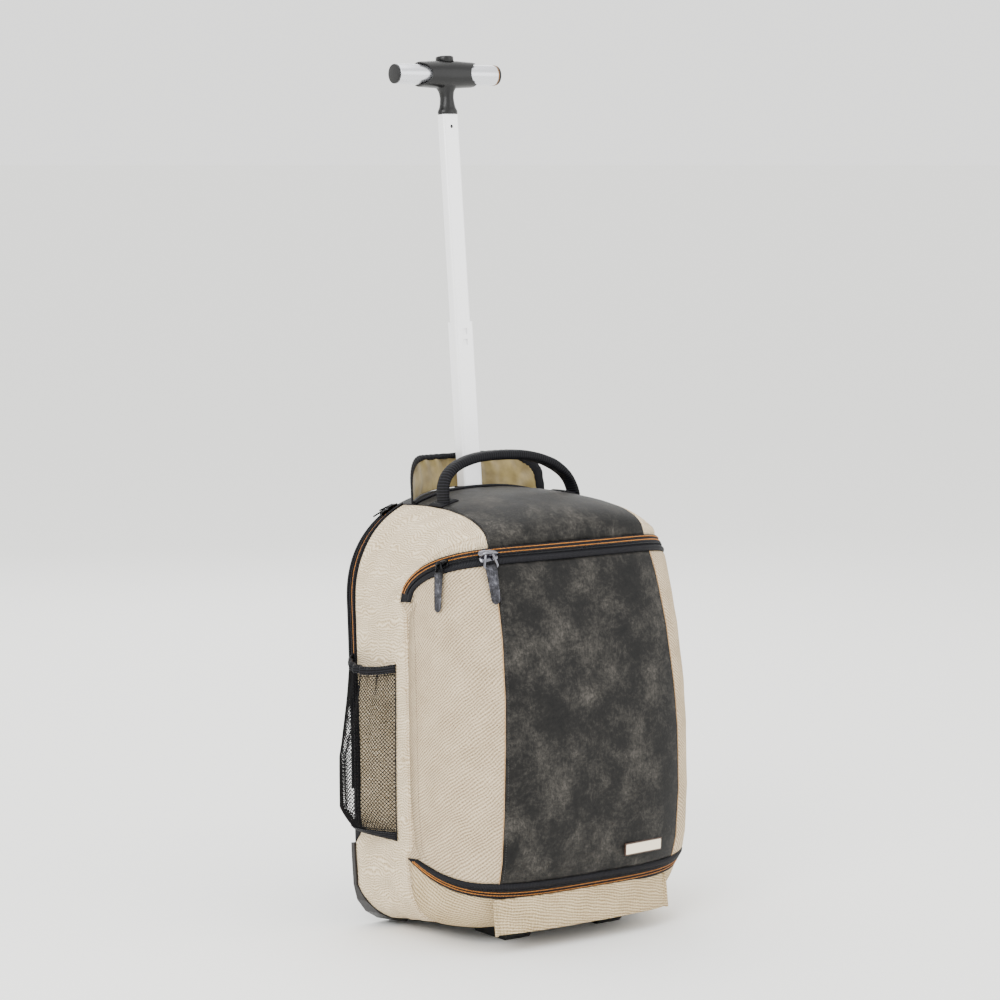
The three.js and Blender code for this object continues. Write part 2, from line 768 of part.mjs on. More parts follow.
['right', 'left'].forEach((name) => {
  const side = name === 'right' ? 1 : -1;
  const topAt = (y) => (undersideHeight - gap - y * leanSine) / leanCosine;
  const outline = new THREE.Shape();
  outline.moveTo(footFront + footBottomRound, 0);
  outline.lineTo(footBack - footBottomRound, 0);
  outline.lineTo(footBack, footBottomRound);
  outline.lineTo(footBack, topAt(footBack) - 0.4);
  outline.lineTo(footFront, topAt(footFront) - 0.4);
  outline.lineTo(footFront, footBottomRound);
  outline.closePath();
  const foot = new THREE.ExtrudeGeometry(outline, { depth: footWidth, bevelEnabled: false });
  foot.rotateX(Math.PI / 2).rotateZ(Math.PI / 2);
  foot.translate(side * footHalfSpacing - footWidth / 2, 0, 0);
  addPart(bag, `foot_${name}`, foot, 'gripPlastic');
});

// The skirt hangs from the lower zip over the feet, a little in front of the lower panel

addPart(leaning, 'skirt', thicken(grid(3, 12, (r, c) => {
  const x = lerp(-skirtHalfWidth, skirtHalfWidth, c);
  const height = skirtTop - skirtDrop * r;
  const p = frontSkin(x / sectionAt(skirtTop).seam, skirtTop);
  return point(x, p.y - skirtFlare * r, height);
}), canvasWall, canvasWall + 7 * gap), 'canvas');

// Net pockets on the sides: a bulging pierced wall, an elastic band along its mouth and a hem below

const netCordShare = netCord * netRows / (pocketTop - pocketBottom);

function pocketPointAt(across, rise, lift) {
  const height = pocketRise * across + lerp(pocketBottom, pocketTop, rise);
  const s = sectionAt(height);
  const front = pocketFront + pocketFrontSlant * (1 - rise);
  const y = lerp(front, pocketBack, across);
  const p = sideSkin((y - s.seamDepth) / (backPlane - s.seamDepth), height);
  const belly = Math.sin(Math.PI * clamp(across, 0, 1) ** pocketBelly.lean) ** pocketBelly.squareness;
  const { low, fullBy, easesFrom, mouth } = pocketFullness;
  const easing = clamp((rise - easesFrom) / (1 - easesFrom), 0, 1);
  const fullness = lerp(low, 1, Math.min(1, rise / fullBy)) * lerp(1, mouth, easing);
  return point(p.x + gap + lift + pocketBulge * belly * fullness, y, height);
}

// A wall with one hole in each cell; the cord is the share of a cell that stays on each side of its hole
function netBetween(pointAt, columns, rows, cord, wall) {
  const points = [];
  const index = [];
  const add = (u, v, lift) => points.push(pointAt(u / columns, v / rows, lift)) - 1;
  const nodes = [wall, 0].map((lift) => Array.from({ length: rows + 1 }, (_, j) =>
    Array.from({ length: columns + 1 }, (__, i) => add(i, j, lift))));
  const quad = (a, b, c, d) => index.push(a, b, c, a, c, d);
  for (let j = 0; j < rows; j += 1) {
    for (let i = 0; i < columns; i += 1) {
      const holes = [wall, 0].map((lift) => [
        add(i + cord, j + cord, lift), add(i + 1 - cord, j + cord, lift),
        add(i + 1 - cord, j + 1 - cord, lift), add(i + cord, j + 1 - cord, lift),
      ]);
      const corners = nodes.map((n) => [n[j][i], n[j][i + 1], n[j + 1][i + 1], n[j + 1][i]]);
      for (let k = 0; k < 4; k += 1) {
        const next = (k + 1) % 4;
        quad(corners[0][k], corners[0][next], holes[0][next], holes[0][k]);
        quad(corners[1][next], corners[1][k], holes[1][k], holes[1][next]);
        quad(holes[0][k], holes[0][next], holes[1][next], holes[1][k]);
      }
    }
  }
  for (let i = 0; i < columns; i += 1) {
    quad(nodes[0][0][i + 1], nodes[0][0][i], nodes[1][0][i], nodes[1][0][i + 1]);
    quad(nodes[0][rows][i], nodes[0][rows][i + 1], nodes[1][rows][i + 1], nodes[1][rows][i]);
  }
  for (let j = 0; j < rows; j += 1) {
    quad(nodes[0][j][0], nodes[0][j + 1][0], nodes[1][j + 1][0], nodes[1][j][0]);
    quad(nodes[0][j + 1][columns], nodes[0][j][columns], nodes[1][j][columns], nodes[1][j + 1][columns]);
  }
  return closedGeometry(points, index);
}

['right', 'left'].forEach((name) => {
  const side = name === 'right' ? 1 : -1;
  const mirror = (p) => point(side * p.x, p.y, p.z);
  const trimShare = pocketTrimWidth / (pocketTop - pocketBottom);
  const low = trimShare + 0.003;
  const high = 1 - low;
  addPart(leaning, `mesh_pocket_${name}`, netBetween((u, v, lift) =>
    mirror(pocketPointAt(u, lerp(low, high, v), lift)), netColumns, netRows, netCordShare, netWall), 'net');
  const strip = (from, to, lift) => grid(1, 8, (r, c) => mirror(pocketPointAt(c, lerp(from, to, r), lift)));
  addPart(leaning, `pocket_hem_${name}`,
    wallBetween(strip(0, trimShare, bandWall), strip(0, trimShare, 0)), 'blackWeb');
  addPart(leaning, `pocket_band_${name}`,
    wallBetween(strip(1 - trimShare, 1, 2 * bandWall), strip(1 - trimShare, 1, 0)), 'blackWeb');
});

// The carry handle: a padded grip over the crown whose ends run out in flat tabs sewn to it

class HandleArc extends THREE.Curve {
  getPoint(t) {
    const angle = Math.PI * (0.015 + 0.97 * t);
    const x = handleHalfSpan * Math.sign(-Math.cos(angle)) * Math.abs(Math.cos(angle)) ** 0.82;
    const base = crownSkin(0.62, 0.59, 0.57).z + bandWall + 4 * gap;
    const z = base + handleThickness / 2 + handleRise * Math.sin(angle) ** 0.9;
    return point(x * handleTabSpread, handleDepth, z);
  }
}

function roundedRectangle(width, height, radius) {
  const shape = new THREE.Shape();
  const w = width / 2;
  const h = height / 2;
  shape.moveTo(-w + radius, -h);
  shape.lineTo(w - radius, -h);
  shape.absarc(w - radius, -h + radius, radius, -Math.PI / 2, 0, false);
  shape.lineTo(w, h - radius);
  shape.absarc(w - radius, h - radius, radius, 0, Math.PI / 2, false);
  shape.lineTo(-w + radius, h);
  shape.absarc(-w + radius, h - radius, radius, Math.PI / 2, Math.PI, false);
  shape.lineTo(-w, -h + radius);
  shape.absarc(-w + radius, -h + radius, radius, Math.PI, 1.5 * Math.PI, false);
  shape.closePath();
  return shape;
}

function ovalShape(width, height) {
  const shape = new THREE.Shape();
  shape.absellipse(0, 0, width / 2, height / 2, 0, 2 * Math.PI, false, 0);
  return shape;
}

addPart(leaning, 'carry_handle', new THREE.ExtrudeGeometry(ovalShape(handleThickness, handleWidth), {
  steps: 18, curveSegments: 5, bevelEnabled: false, extrudePath: new HandleArc(),
}), 'blackWeb');

['right', 'left'].forEach((name) => {
  const side = name === 'right' ? 1 : -1;
  const tab = grid(2, 5, (r, c) => {
    const share = lerp(0.8, 0.99, c);
    const p = crownSkin(share * topLeatherShare, share * backLeatherShare, lerp(0.5, 0.62, r));
    return point(side * p.x, p.y, p.z);
  });
  addPart(leaning, `handle_tab_${name}`, thicken(tab, bandWall, bandWall + 3 * gap), 'blackWeb');
});

// The flap stands open behind the pole: a lined wall with a bound edge, its ends curving forward

const flapCurve = (x) => backPlane - flapSet - flapCurl * Math.abs(x / flapHalfWidth) ** 3;

function flapTop(x, inset) {
  const reach = flapHalfWidth - inset;
  const overhang = Math.max(0, Math.abs(x) - (reach - flapCorner)) / flapCorner;
  const drop = flapCorner * (1 - superArc(overhang, 2));
  return crownHeight - flapFoot + flapHeight - inset - drop;
}

function flapBase(x) {
  return backOutline(x / sectionAt(shoulderHeight).back).z + 1 + 2 * (x / flapHalfWidth) ** 4;
}

function flapSkin(x, z, lift) {
  return point(x, flapCurve(x) - lift, z);
}

// A point of the flap's rim, set in from its edge: step runs along the rim from 0 to 1
function flapRim(step, inset, lift) {
  const angle = Math.PI * step;
  const reach = flapHalfWidth - inset;
  const x = -reach * Math.sign(Math.cos(angle)) * Math.abs(Math.cos(angle)) ** 0.6;
  const rise = clamp(Math.min(step, 1 - step) / 0.07, 0.02, 1);
  return flapSkin(x, lerp(flapBase(x), flapTop(x, inset), rise), lift);
}

const rimSteps = 22;
const flapWallGrid = (lift) => grid(2, rimSteps, (r, c) => {
  const rim = flapRim(c, flapBindingWidth + gap, lift);
  return point(rim.x, rim.y, lerp(flapBase(rim.x), rim.z, r));
});
const bindingGrid = (lift) => grid(rimSteps, 1, (r, c) => flapRim(r, flapBindingWidth * c, lift));

addPart(leaning, 'handle_flap', wallBetween(flapWallGrid(flapWall), flapWallGrid(0)), 'lining');
addPart(leaning, 'flap_binding', wallBetween(bindingGrid(flapWall + 0.8), bindingGrid(-0.8)), 'blackWeb');

// The telescopic pole: guide, lower tube, upper tube, each a rounded rectangular tube

const lowerTubeWidth = upperTubeWidth + 2 * (tubeWall + slideClearance);
const lowerTubeDepth = upperTubeDepth + 2 * (tubeWall + slideClearance);
const guideInnerWidth = lowerTubeWidth + 2 * slideClearance;
const guideInnerDepth = lowerTubeDepth + 2 * slideClearance;
const lowerTubeLength = lowerTravel + tubeOverlap + lowerTubeTail;
const upperTubeLength = upperTravel + tubeOverlap;

function rectangularTube(width, depth, wall, bottom, top) {
  const outline = roundedRectangle(width, depth, poleCornerRadius);
  const inside = roundedRectangle(width - 2 * wall, depth - 2 * wall, poleCornerRadius - wall * 0.8);
  outline.holes.push(inside);
  const tube = new THREE.ExtrudeGeometry(outline, { depth: top - bottom, bevelEnabled: false, curveSegments: 3 });
  return tube.translate(0, poleDepth, bottom);
}

const guideWall = (guideWidth - guideInnerWidth) / 2;
addPart(leaning, 'pole_guide',
  rectangularTube(guideWidth, guideInnerDepth + 2 * guideWall, guideWall, guideBottom, guideTop), 'gripPlastic');

const frontWindow = (height) =>
  toSolid(box(windowSize, lowerTubeDepth, windowSize, 0, poleDepth - lowerTubeDepth / 2, height));
const lowerTube = toSolid(rectangularTube(lowerTubeWidth, lowerTubeDepth, tubeWall,
  lowerTubeTop - lowerTubeLength, lowerTubeTop));
const windowHeights = windowDrops.map((drop) => lowerTubeTop - drop);
addPart(leaning, 'lower_tube', fromSolid(
  lowerTube.subtract(frontWindow(windowHeights[0])).subtract(frontWindow(windowHeights[1]))), 'aluminium');

const pinHole = toSolid(cylinder(pinHoleRadius, upperTubeDepth, 12, 0,
  poleDepth - upperTubeDepth / 2, upperTubeTop - pinHoleDrop, 'y'));
const upperTube = toSolid(rectangularTube(upperTubeWidth, upperTubeDepth, tubeWall,
  upperTubeTop - upperTubeLength, upperTubeTop));
addPart(leaning, 'upper_tube', fromSolid(upperTube.subtract(pinHole)), 'aluminium');

// The T grip: a waisted neck and a hub in one moulding, aluminium bars with caps, a button on top

function loft(rings) {
  const points = [];
  const index = [];
  const sides = rings[0].length;
  rings.forEach((loop) => points.push(...loop));
  for (let i = 0; i < rings.length - 1; i += 1) {
    for (let j = 0; j < sides; j += 1) {
      const a = i * sides + j;
      const b = i * sides + (j + 1) % sides;
      index.push(a, b, b + sides, a, b + sides, a + sides);
    }
  }
  const capStart = points.push(centreOf(rings[0])) - 1;
  const capEnd = points.push(centreOf(rings.at(-1))) - 1;
  const last = (rings.length - 1) * sides;
  for (let j = 0; j < sides; j += 1) {
    const next = (j + 1) % sides;
    index.push(capStart, next, j, capEnd, last + j, last + next);
  }
  return closedGeometry(points, index);
}

function centreOf(loop) {
  return loop.reduce((sum, p) => sum.add(p), point(0, 0, 0)).divideScalar(loop.length);
}

const around = (sides, at) => Array.from({ length: sides }, (_, j) => at(2 * Math.PI * j / sides));
const rounded = (value, power) => Math.sign(value) * Math.abs(value) ** power;

const hubHalf = hubWidth / 2;
const hubSections = [
  { along: -1, tall: 0.8, deep: 0.78 }, { along: -0.72, tall: 0.9, deep: 0.86 },
  { along: -0.36, tall: 0.98, deep: 0.93 }, { along: 0, tall: 1, deep: 0.95 },
  { along: 0.36, tall: 0.98, deep: 0.93 }, { along: 0.72, tall: 0.9, deep: 0.86 },
  { along: 1, tall: 0.8, deep: 0.78 },
];
const hubLoft = loft(hubSections.map(({ along, tall, deep }) => around(14, (angle) => point(
  along * hubHalf,
  poleDepth + rounded(Math.cos(angle), 0.9) * deep * hubHeight / 2,
  gripAxisHeight + rounded(Math.sin(angle), 0.9) * tall * hubHeight / 2,
))));
const neckHeight = gripAxisHeight - upperTubeTop - gap;
const neckSections = [
  { up: 0, wide: neckBase, deep: 0.72 }, { up: 0.1, wide: neckBase * 0.93, deep: 0.76 },
  { up: 0.25, wide: neckWaist * 1.16, deep: 0.88 }, { up: 0.42, wide: neckWaist, deep: 0.98 },
  { up: 0.56, wide: neckWaist * 1.1, deep: 0.98 }, { up: 0.68, wide: neckWaist * 1.55, deep: 0.78 },
  { up: 0.85, wide: neckWaist * 2, deep: 0.6 },
];
const neckLoft = loft(neckSections.map(({ up, wide, deep }) => around(14, (angle) => point(
  Math.cos(angle) * wide / 2,
  poleDepth + Math.sin(angle) * wide * deep / 2,
  upperTubeTop + gap + up * neckHeight,
))));
const barRadius = gripDiameter / 2;
const barInnerEnd = hubHalf - 20;
const mouthRadius = barRadius + gap;

let hub = toSolid(hubLoft).add(toSolid(neckLoft));
[-1, 1].forEach((side) => {
  const socketLength = hubHalf;
  hub = hub.subtract(toSolid(cylinder(barRadius + gap, socketLength, 20,
    side * (barInnerEnd - gap + socketLength / 2), poleDepth, gripAxisHeight, 'x')));
  hub = hub.subtract(toSolid(cylinder(mouthRadius, hubHeight * 2, 24,
    side * hubHalf, poleDepth, gripAxisHeight, 'y')));
});
const buttonSeat = gripAxisHeight + hubHeight / 2 - buttonTravel - 5;
hub = hub.subtract(toSolid(cylinder(buttonRadius + slideClearance, 40, 20,
  0, poleDepth, buttonSeat + 20, 'z')));
addPart(leaning, 'grip_hub', fromSolid(hub), 'gripPlastic');

['right', 'left'].forEach((name) => {
  const side = name === 'right' ? 1 : -1;
  const barEnd = gripLength / 2 - gripCapThickness - gap;
  const length = barEnd - barInnerEnd;
  addPart(leaning, `grip_bar_${name}`, cylinder(barRadius, length, 20,
    side * (barInnerEnd + length / 2), poleDepth, gripAxisHeight, 'x'), 'aluminium');
  addPart(leaning, `grip_cap_${name}`, cylinder(barRadius - 0.4, gripCapThickness, 20,
    side * (gripLength / 2 - gripCapThickness / 2), poleDepth, gripAxisHeight, 'x'), 'gripPlastic');
});

const buttonTop = gripAxisHeight + hubHeight / 2 + buttonStand;
const buttonBottom = buttonSeat + buttonTravel + gap;
addPart(leaning, 'release_button', ring([
  [0, buttonBottom], [buttonRadius, buttonBottom], [buttonRadius, buttonTop - 2],
  [buttonRadius - 2, buttonTop - 0.4], [0, buttonTop],
], 20).rotateX(Math.PI / 2).translate(0, poleDepth, 0), 'gripPlastic');

// Zip sliders with their pulls, lying on the zips, and the bare plate

function hangingGroup(place, down, away) {
  const group = new THREE.Group();
  group.position.copy(place);
  const basis = new THREE.Matrix4().makeBasis(down.clone().cross(away).normalize(), away, down.clone().negate());
  group.quaternion.setFromRotationMatrix(basis);
  return group;
}

const sliders = [
  { name: 'top_left', share: -0.92, lift: 2.6 },
  { name: 'top_middle', share: -0.685, lift: gap },
];
sliders.forEach(({ name, share, lift }) => {
  const upper = topZipEdge(share, 1);
  const lower = topZipEdge(share, -1);
  const place = upper.clone().lerp(lower, 0.5);
  const away = inward(place).negate();
  const down = lower.clone().sub(upper);
  down.addScaledVector(away, -down.dot(away)).normalize();
  const group = hangingGroup(place.addScaledVector(away, lift), down, away);
  leaning.add(group);
  const body = new THREE.ExtrudeGeometry(roundedRectangle(sliderLength, sliderWidth, sliderCorner), {
    depth: sliderHeight, bevelEnabled: false, curveSegments: 2,
  });
  body.rotateX(-Math.PI / 2);
  addPart(group, `slider_${name}`, body, 'gunmetal');
  const top = place.clone().addScaledVector(down, sliderLength / 2 + gap).addScaledVector(away, gap);
  const below = pocketPoint(share, share, 1 - pullLength / (topZipHeight - bottomZipHeight));
  const hang = below.addScaledVector(inward(below), -pullStand).sub(top).normalize();
  const face = away.clone().addScaledVector(hang, -away.dot(hang)).normalize();
  const pullGroup = hangingGroup(top, hang, face);
  leaning.add(pullGroup);
  const pull = new THREE.ExtrudeGeometry(roundedRectangle(pullWidth, pullLength, pullWidth / 2 - 0.1), {
    depth: pullThickness, bevelEnabled: false, curveSegments: 2,
  });
  pull.rotateX(Math.PI / 2).translate(0, pullThickness, -pullLength / 2);
  addPart(pullGroup, `pull_${name}`, pull, 'leather');
});

const badgeAway = point(0.12, -1, -0.13).normalize();
const badgePoint = frontSkin(badgeCentreX / sectionAt(badgeCentreHeight).seam, badgeCentreHeight);
const badgeGroup = new THREE.Group();
badgeGroup.position.copy(badgePoint).addScaledVector(badgeAway, 3 * gap);
badgeGroup.quaternion.setFromUnitVectors(point(0, -1, 0), badgeAway);
leaning.add(badgeGroup);
addPart(badgeGroup, 'badge_plate',
  box(badgeWidth, badgeThickness, badgeHeight, 0, -badgeThickness / 2, 0), 'plate');

// The origin is under the middle of the whole bag, on the floor

bag.updateMatrixWorld(true);
const extent = new THREE.Box3().setFromObject(bag, true);
bag.position.y = -(extent.min.y + extent.max.y) / 2;
bag.updateMatrixWorld(true);

export default bag;
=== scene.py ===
"""Wheeled backpack, cabin size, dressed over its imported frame.

A canvas and leather shell leans back on two corner wheels and two feet. Every
sub-assembly is a class: its sizes are fields, in millimetres, and its methods
build its meshes and dress them. The shell is drawn upright in the leaning
frame, x across, u deep (front is negative) and v up, and is set into the
frame's metres by ``BagForm.place``.
"""

import logging
import math
from collections.abc import Callable, Sequence
from dataclasses import dataclass, field
from enum import Enum

import bmesh
import bpy
import numpy as np
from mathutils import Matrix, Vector, noise


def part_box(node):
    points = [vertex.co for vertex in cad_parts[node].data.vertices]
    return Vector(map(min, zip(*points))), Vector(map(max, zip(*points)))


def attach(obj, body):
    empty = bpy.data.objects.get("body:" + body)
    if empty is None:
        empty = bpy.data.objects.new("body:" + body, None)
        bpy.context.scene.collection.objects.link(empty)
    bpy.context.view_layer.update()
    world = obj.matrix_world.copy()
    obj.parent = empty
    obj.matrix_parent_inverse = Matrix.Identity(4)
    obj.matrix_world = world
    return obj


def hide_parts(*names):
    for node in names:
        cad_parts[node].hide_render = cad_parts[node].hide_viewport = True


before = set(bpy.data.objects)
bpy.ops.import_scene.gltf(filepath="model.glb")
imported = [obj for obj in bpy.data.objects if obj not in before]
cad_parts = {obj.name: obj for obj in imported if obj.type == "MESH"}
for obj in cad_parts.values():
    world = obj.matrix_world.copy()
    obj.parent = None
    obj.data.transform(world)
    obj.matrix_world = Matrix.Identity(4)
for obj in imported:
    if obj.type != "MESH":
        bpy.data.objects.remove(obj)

Point = np.ndarray
SkinAt = Callable[[float, float], Point]
SIDES = (("right", 1), ("left", -1))

LOG = logging.getLogger("wheeled_backpack")
MM = 0.001
# the body that every sewn piece rides on
BAG = "bag"
# a stitch's length, width and height in mm
STITCH = (2.2, 0.6, 0.5)


# ---- The shell's form ----


def clamp(value: float, low: float = 0.0, high: float = 1.0) -> float:
    """Return value held between low and high."""
    return max(low, min(high, value))


def lerp(a: float | Point, b: float | Point, t: float) -> float | Point:
    """Return the mix of a and b, a at t = 0 and b at t = 1."""
    return a + (b - a) * t


def smooth(value: float, low: float, high: float) -> float:
    """Return 0 below low, 1 above high and a soft step between."""
    t = clamp((value - low) / (high - low))
    return t * t * (3 - 2 * t)


def super_arc(share: float, roundness: float) -> float:
    """Return the height of a super-ellipse arc, 1 at share 0 and 0 at share 1."""
    return (1 - min(1.0, abs(share)) ** roundness) ** (1 / roundness)


def bent(value: float, power: float) -> float:
    """Return a value's power with its sign kept: under 1 squares a round section off."""
    return math.copysign(abs(value) ** power, value)


def bell(value: float, centre: float, width: float) -> float:
    """Return a smooth bump, 1 at its centre and near 0 two widths away."""
    return math.exp(-(((value - centre) / width) ** 2))


def round_turns(sides: int) -> list[float]:
    """Return the angles of a ring's points."""
    return [2 * math.pi * k / sides for k in range(sides)]


def unit(way: Point) -> Point:
    """Return a direction with length 1."""
    return way / np.linalg.norm(way)


def lengths_along(path: np.ndarray) -> np.ndarray:
    """Return the length of a path up to each of its points."""
    return np.concatenate([[0], np.cumsum(np.linalg.norm(np.diff(path, axis=0), axis=1))])


@dataclass(frozen=True)
class BagForm:
    """The shell's driving sizes and the skins they give, in millimetres."""

    lean_degrees: float = 5.8
    gap: float = 0.3
    back_plane: float = 85.6
    base_half_width: float = 184
    underside: float = 13
    bottom_corner: float = 46
    shoulder: float = 392
    crown: float = 525
    crown_roundness: float = 2.3
    seam_half_width: float = 175
    side_bulge: float = 3
    front_depth: float = 171
    top_zip_height: float = 459
    top_zip_depth: float = 143
    top_zip_width: float = 21
    top_zip_end: float = 399
    bottom_zip_height: float = 57
    bottom_zip_width: float = 19
    bottom_zip_end: float = 97
    leather_half_width: float = 122
    crown_leather_half_width: float = 93
    main_zip_width: float = 15
    band_front: float = 42
    guard_top: float = 118
    zip_tail: float = 12
    wheel_radius: float = 30
    wheel_setback: float = 68
    wheel_track: float = 98
    pole_depth: float = 62

    # height, back, seam, seam depth and front as shares, and the corner's roundness
    sections: tuple[tuple[float, ...], ...] = (
        (0.0, 0.99, 0.97, 0.12, 0.66, 3.0),
        (0.035, 1.0, 0.985, 0.12, 0.76, 3.0),
        (0.09, 1.0, 1.0, 0.13, 0.835, 3.2),
        (0.16, 1.0, 1.01, 0.15, 0.9, 3.5),
        (0.27, 0.99, 1.015, 0.17, 0.955, 3.7),
        (0.42, 0.965, 1.01, 0.19, 0.995, 3.7),
        (0.52, 0.955, 1.0, 0.2, 1.0, 3.7),
        (0.66, 0.94, 0.995, 0.22, 0.975, 3.6),
        (0.78, 0.93, 0.99, 0.23, 0.925, 3.3),
        (0.88, 0.92, 0.985, 0.24, 0.868, 3.0),
    )

    @property
    def wheel_height(self) -> float:
        """The wheel axis above the leaning frame's zero."""
        lean = math.radians(self.lean_degrees)
        return (self.wheel_radius + self.wheel_setback * math.sin(lean)) / math.cos(lean)

    def shift(self) -> float:
        """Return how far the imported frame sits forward, read from an axle's place."""
        low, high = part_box("axle_left")
        lean = math.radians(self.lean_degrees)
        drawn = self.wheel_setback * math.cos(lean) + self.wheel_height * math.sin(lean)
        return (low.y + high.y) / 2 / MM - drawn

    def place(self, points: np.ndarray) -> np.ndarray:
        """Turn points of the leaning frame into the frame's metres.

        Args:
            points: Array whose last axis is x, u, v in millimetres.

        Returns:
            The same array in metres, world x, y, z.
        """
        lean = math.radians(self.lean_degrees)
        x, u, v = points[..., 0], points[..., 1], points[..., 2]
        y = u * math.cos(lean) + v * math.sin(lean) + self.shift()
        z = -u * math.sin(lean) + v * math.cos(lean)
        return np.stack([x, y, z], axis=-1) * MM

    def section(self, height: float) -> tuple[float, float, float, float, float]:
        """Return the level cut at a height.

        Args:
            height: Millimetres up the leaning frame.

        Returns:
            Back half-width, seam half-width, seam depth, front depth and corner roundness.
        """
        share = (height - self.underside) / (self.crown - self.underside)
        table = self.sections
        k = 0
        while k < len(table) - 2 and table[k + 1][0] < share:
            k += 1
        t = clamp((share - table[k][0]) / (table[k + 1][0] - table[k][0]))
        back, seam, depth, front, corner = (
            lerp(a, b, t) for a, b in zip(table[k][1:], table[k + 1][1:])
        )
        turn = clamp(1 - (height - self.underside) / self.bottom_corner)
        rounding = self.bottom_corner * (1 - super_arc(turn, 2))
        return (
            back * self.base_half_width - rounding,
            seam * self.seam_half_width - rounding * 0.9,
            -depth * self.front_depth,
            -front * self.front_depth,
            corner,
        )

    def front_skin(self, across: float, height: float) -> Point:
        """Return a point of the front skin; across is a share of the seam's half-width."""
        _, seam, depth, front, corner = self.section(height)
        out = depth + (front - depth) * super_arc(across, corner)
        return np.array([across * seam, out, height])

    def side_skin(self, back: float, height: float) -> Point:
        """Return a point of the side skin; back is 0 at the seam and 1 at the back edge."""
        half, seam, depth, _, _ = self.section(height)
        x = lerp(seam, half, back) + self.side_bulge * math.sin(math.pi * back)
        return np.array([x, lerp(depth, self.back_plane, back), height])

    def seam_offset(self, height: float) -> float:
        """Return how far the seam opens for the zips' ends at a height."""
        low, high = self.bottom_zip_width / 2, self.top_zip_width / 2
        if height <= self.bottom_zip_end:
            return low * clamp((height - self.underside) / (self.bottom_zip_end - self.underside))
        if height <= self.bottom_zip_end + self.zip_tail:
            return low * (1 - (height - self.bottom_zip_end) / self.zip_tail)
        return high * clamp((height - self.top_zip_end + self.zip_tail) / self.zip_tail)

    def back_outline(self, share: float) -> Point:
        """Return the back edge above the shoulder, by share of its half-width."""
        half = self.section(self.shoulder)[0]
        rise = (self.crown - self.shoulder) * super_arc(share, self.crown_roundness)
        return np.array([share * half, self.back_plane, self.shoulder + rise])

    def top_zip_edge(self, share: float, side: float) -> Point:
        """Return an edge of the top zip: side is 1 on the crown and -1 on the pocket."""
        _, seam, depth, _, _ = self.section(self.top_zip_end)
        drop = (1 - side) / 2
        top = self.top_zip_height - drop * self.top_zip_width * 0.95
        front = -self.top_zip_depth - drop * self.top_zip_width * 0.33
        end = depth + side * self.top_zip_width / 2
        z = self.top_zip_end + (top - self.top_zip_end) * super_arc(share, 6)
        return np.array([share * seam, end + (front - end) * super_arc(share, 3), z])

    def bottom_zip_edge(self, share: float, side: float) -> Point:
        """Return an edge of the bottom zip: side is 1 on the pocket and -1 below it."""
        arc = super_arc(share, 4)
        centre = lerp(self.bottom_zip_end, self.bottom_zip_height, arc)
        p = self.front_skin(share, centre + side * arc * self.bottom_zip_width / 2)
        p[1] -= side * self.bottom_zip_width / 2 * abs(share) ** 8
        return p

    @property
    def back_leather_share(self) -> float:
        """The crown leather's half-width as a share of the back edge."""
        return self.crown_leather_half_width / self.section(self.shoulder)[0]

    @property
    def top_leather_share(self) -> float:
        """The leather's half-width at the top zip as a share of the seam's."""
        return 0.945 * self.leather_half_width / self.section(self.top_zip_end)[1]

    @property
    def low_leather_share(self) -> float:
        """The leather's half-width at the bottom zip as a share of the seam's."""
        return 1.045 * self.leather_half_width / self.section(self.bottom_zip_height)[1]

    def crown_skin(self, front_share: float, back_share: float, back: float) -> Point:
        """Return a point of the crown: back runs from the top zip, 0, to the back edge, 1."""
        front = self.top_zip_edge(front_share, 1)
        rear = self.back_outline(back_share)
        p = lerp(front, rear, back)
        p[2] = lerp(front[2], rear[2], super_arc(1 - back, 2.3))
        return p

    def leather_row(self, share: float, back: float) -> Point:
        """Return a crown point at a share of the crown leather's half-width."""
        front, rear = share * self.top_leather_share, share * self.back_leather_share
        return self.crown_skin(front, rear, back)

    def side_row(self, rise: float) -> Callable[[float], Point]:
        """Return one row of the side, by how far up the side and shoulder it lies.

        Args:
            rise: 0 at the underside, 1 at the shoulder and 2 at the crown's leather.

        Returns:
            A function of back, 0 at the seam and 1 at the back edge.
        """
        if rise <= 1:
            seam_height = lerp(self.underside, self.top_zip_end, rise)
            back_height = lerp(self.underside, self.shoulder, rise)
            seam = self.side_skin(0, seam_height)
            seam[1] += self.seam_offset(seam_height)
            rear = self.side_skin(1, back_height)

            def low_row(back: float) -> Point:
                """Return a point of the side below the shoulder."""
                p = lerp(seam, rear, back)
                p[0] += self.side_bulge * math.sin(math.pi * back)
                return p

            return low_row
        k = rise - 1
        front_share = math.cos(k * math.acos(self.top_leather_share**3)) ** (1 / 3)
        back_share = math.cos(k * math.acos(self.back_leather_share**1.15)) ** (1 / 1.15)

        def high_row(back: float) -> Point:
            """Return a point of the shoulder."""
            p = self.crown_skin(front_share, back_share, back)
            p[0] += self.side_bulge * (1 - k) * math.sin(math.pi * back)
            return p

        return high_row

    def strip_width(self, height: float) -> float:
        """Return the main zip's width at a height: it narrows over the guard."""
        return lerp(1.4, self.main_zip_width, clamp((height - self.guard_top + 8) / 12))

    def back_share(self, row: Callable[[float], Point], width: float) -> float:
        """Return where a row reaches a strip of that width along the back edge."""
        front = row(0)[1]
        return (self.back_plane - width - front) / (self.back_plane - front)

    def pocket_point(self, low_share: float, top_share: float, rise: float) -> Point:
        """Return a point of the front pocket's face, between its two zips."""
        low = self.bottom_zip_edge(low_share, 1)
        top = self.top_zip_edge(top_share, -1)
        share = lerp(low_share, top_share, rise**2)
        p = self.front_skin(share, lerp(low[2], top[2], rise))
        low_fix = (low - self.front_skin(low_share, low[2])) * (1 - rise) ** 8
        top_fix = (top - self.front_skin(top_share, top[2])) * rise**8
        return p + low_fix + top_fix

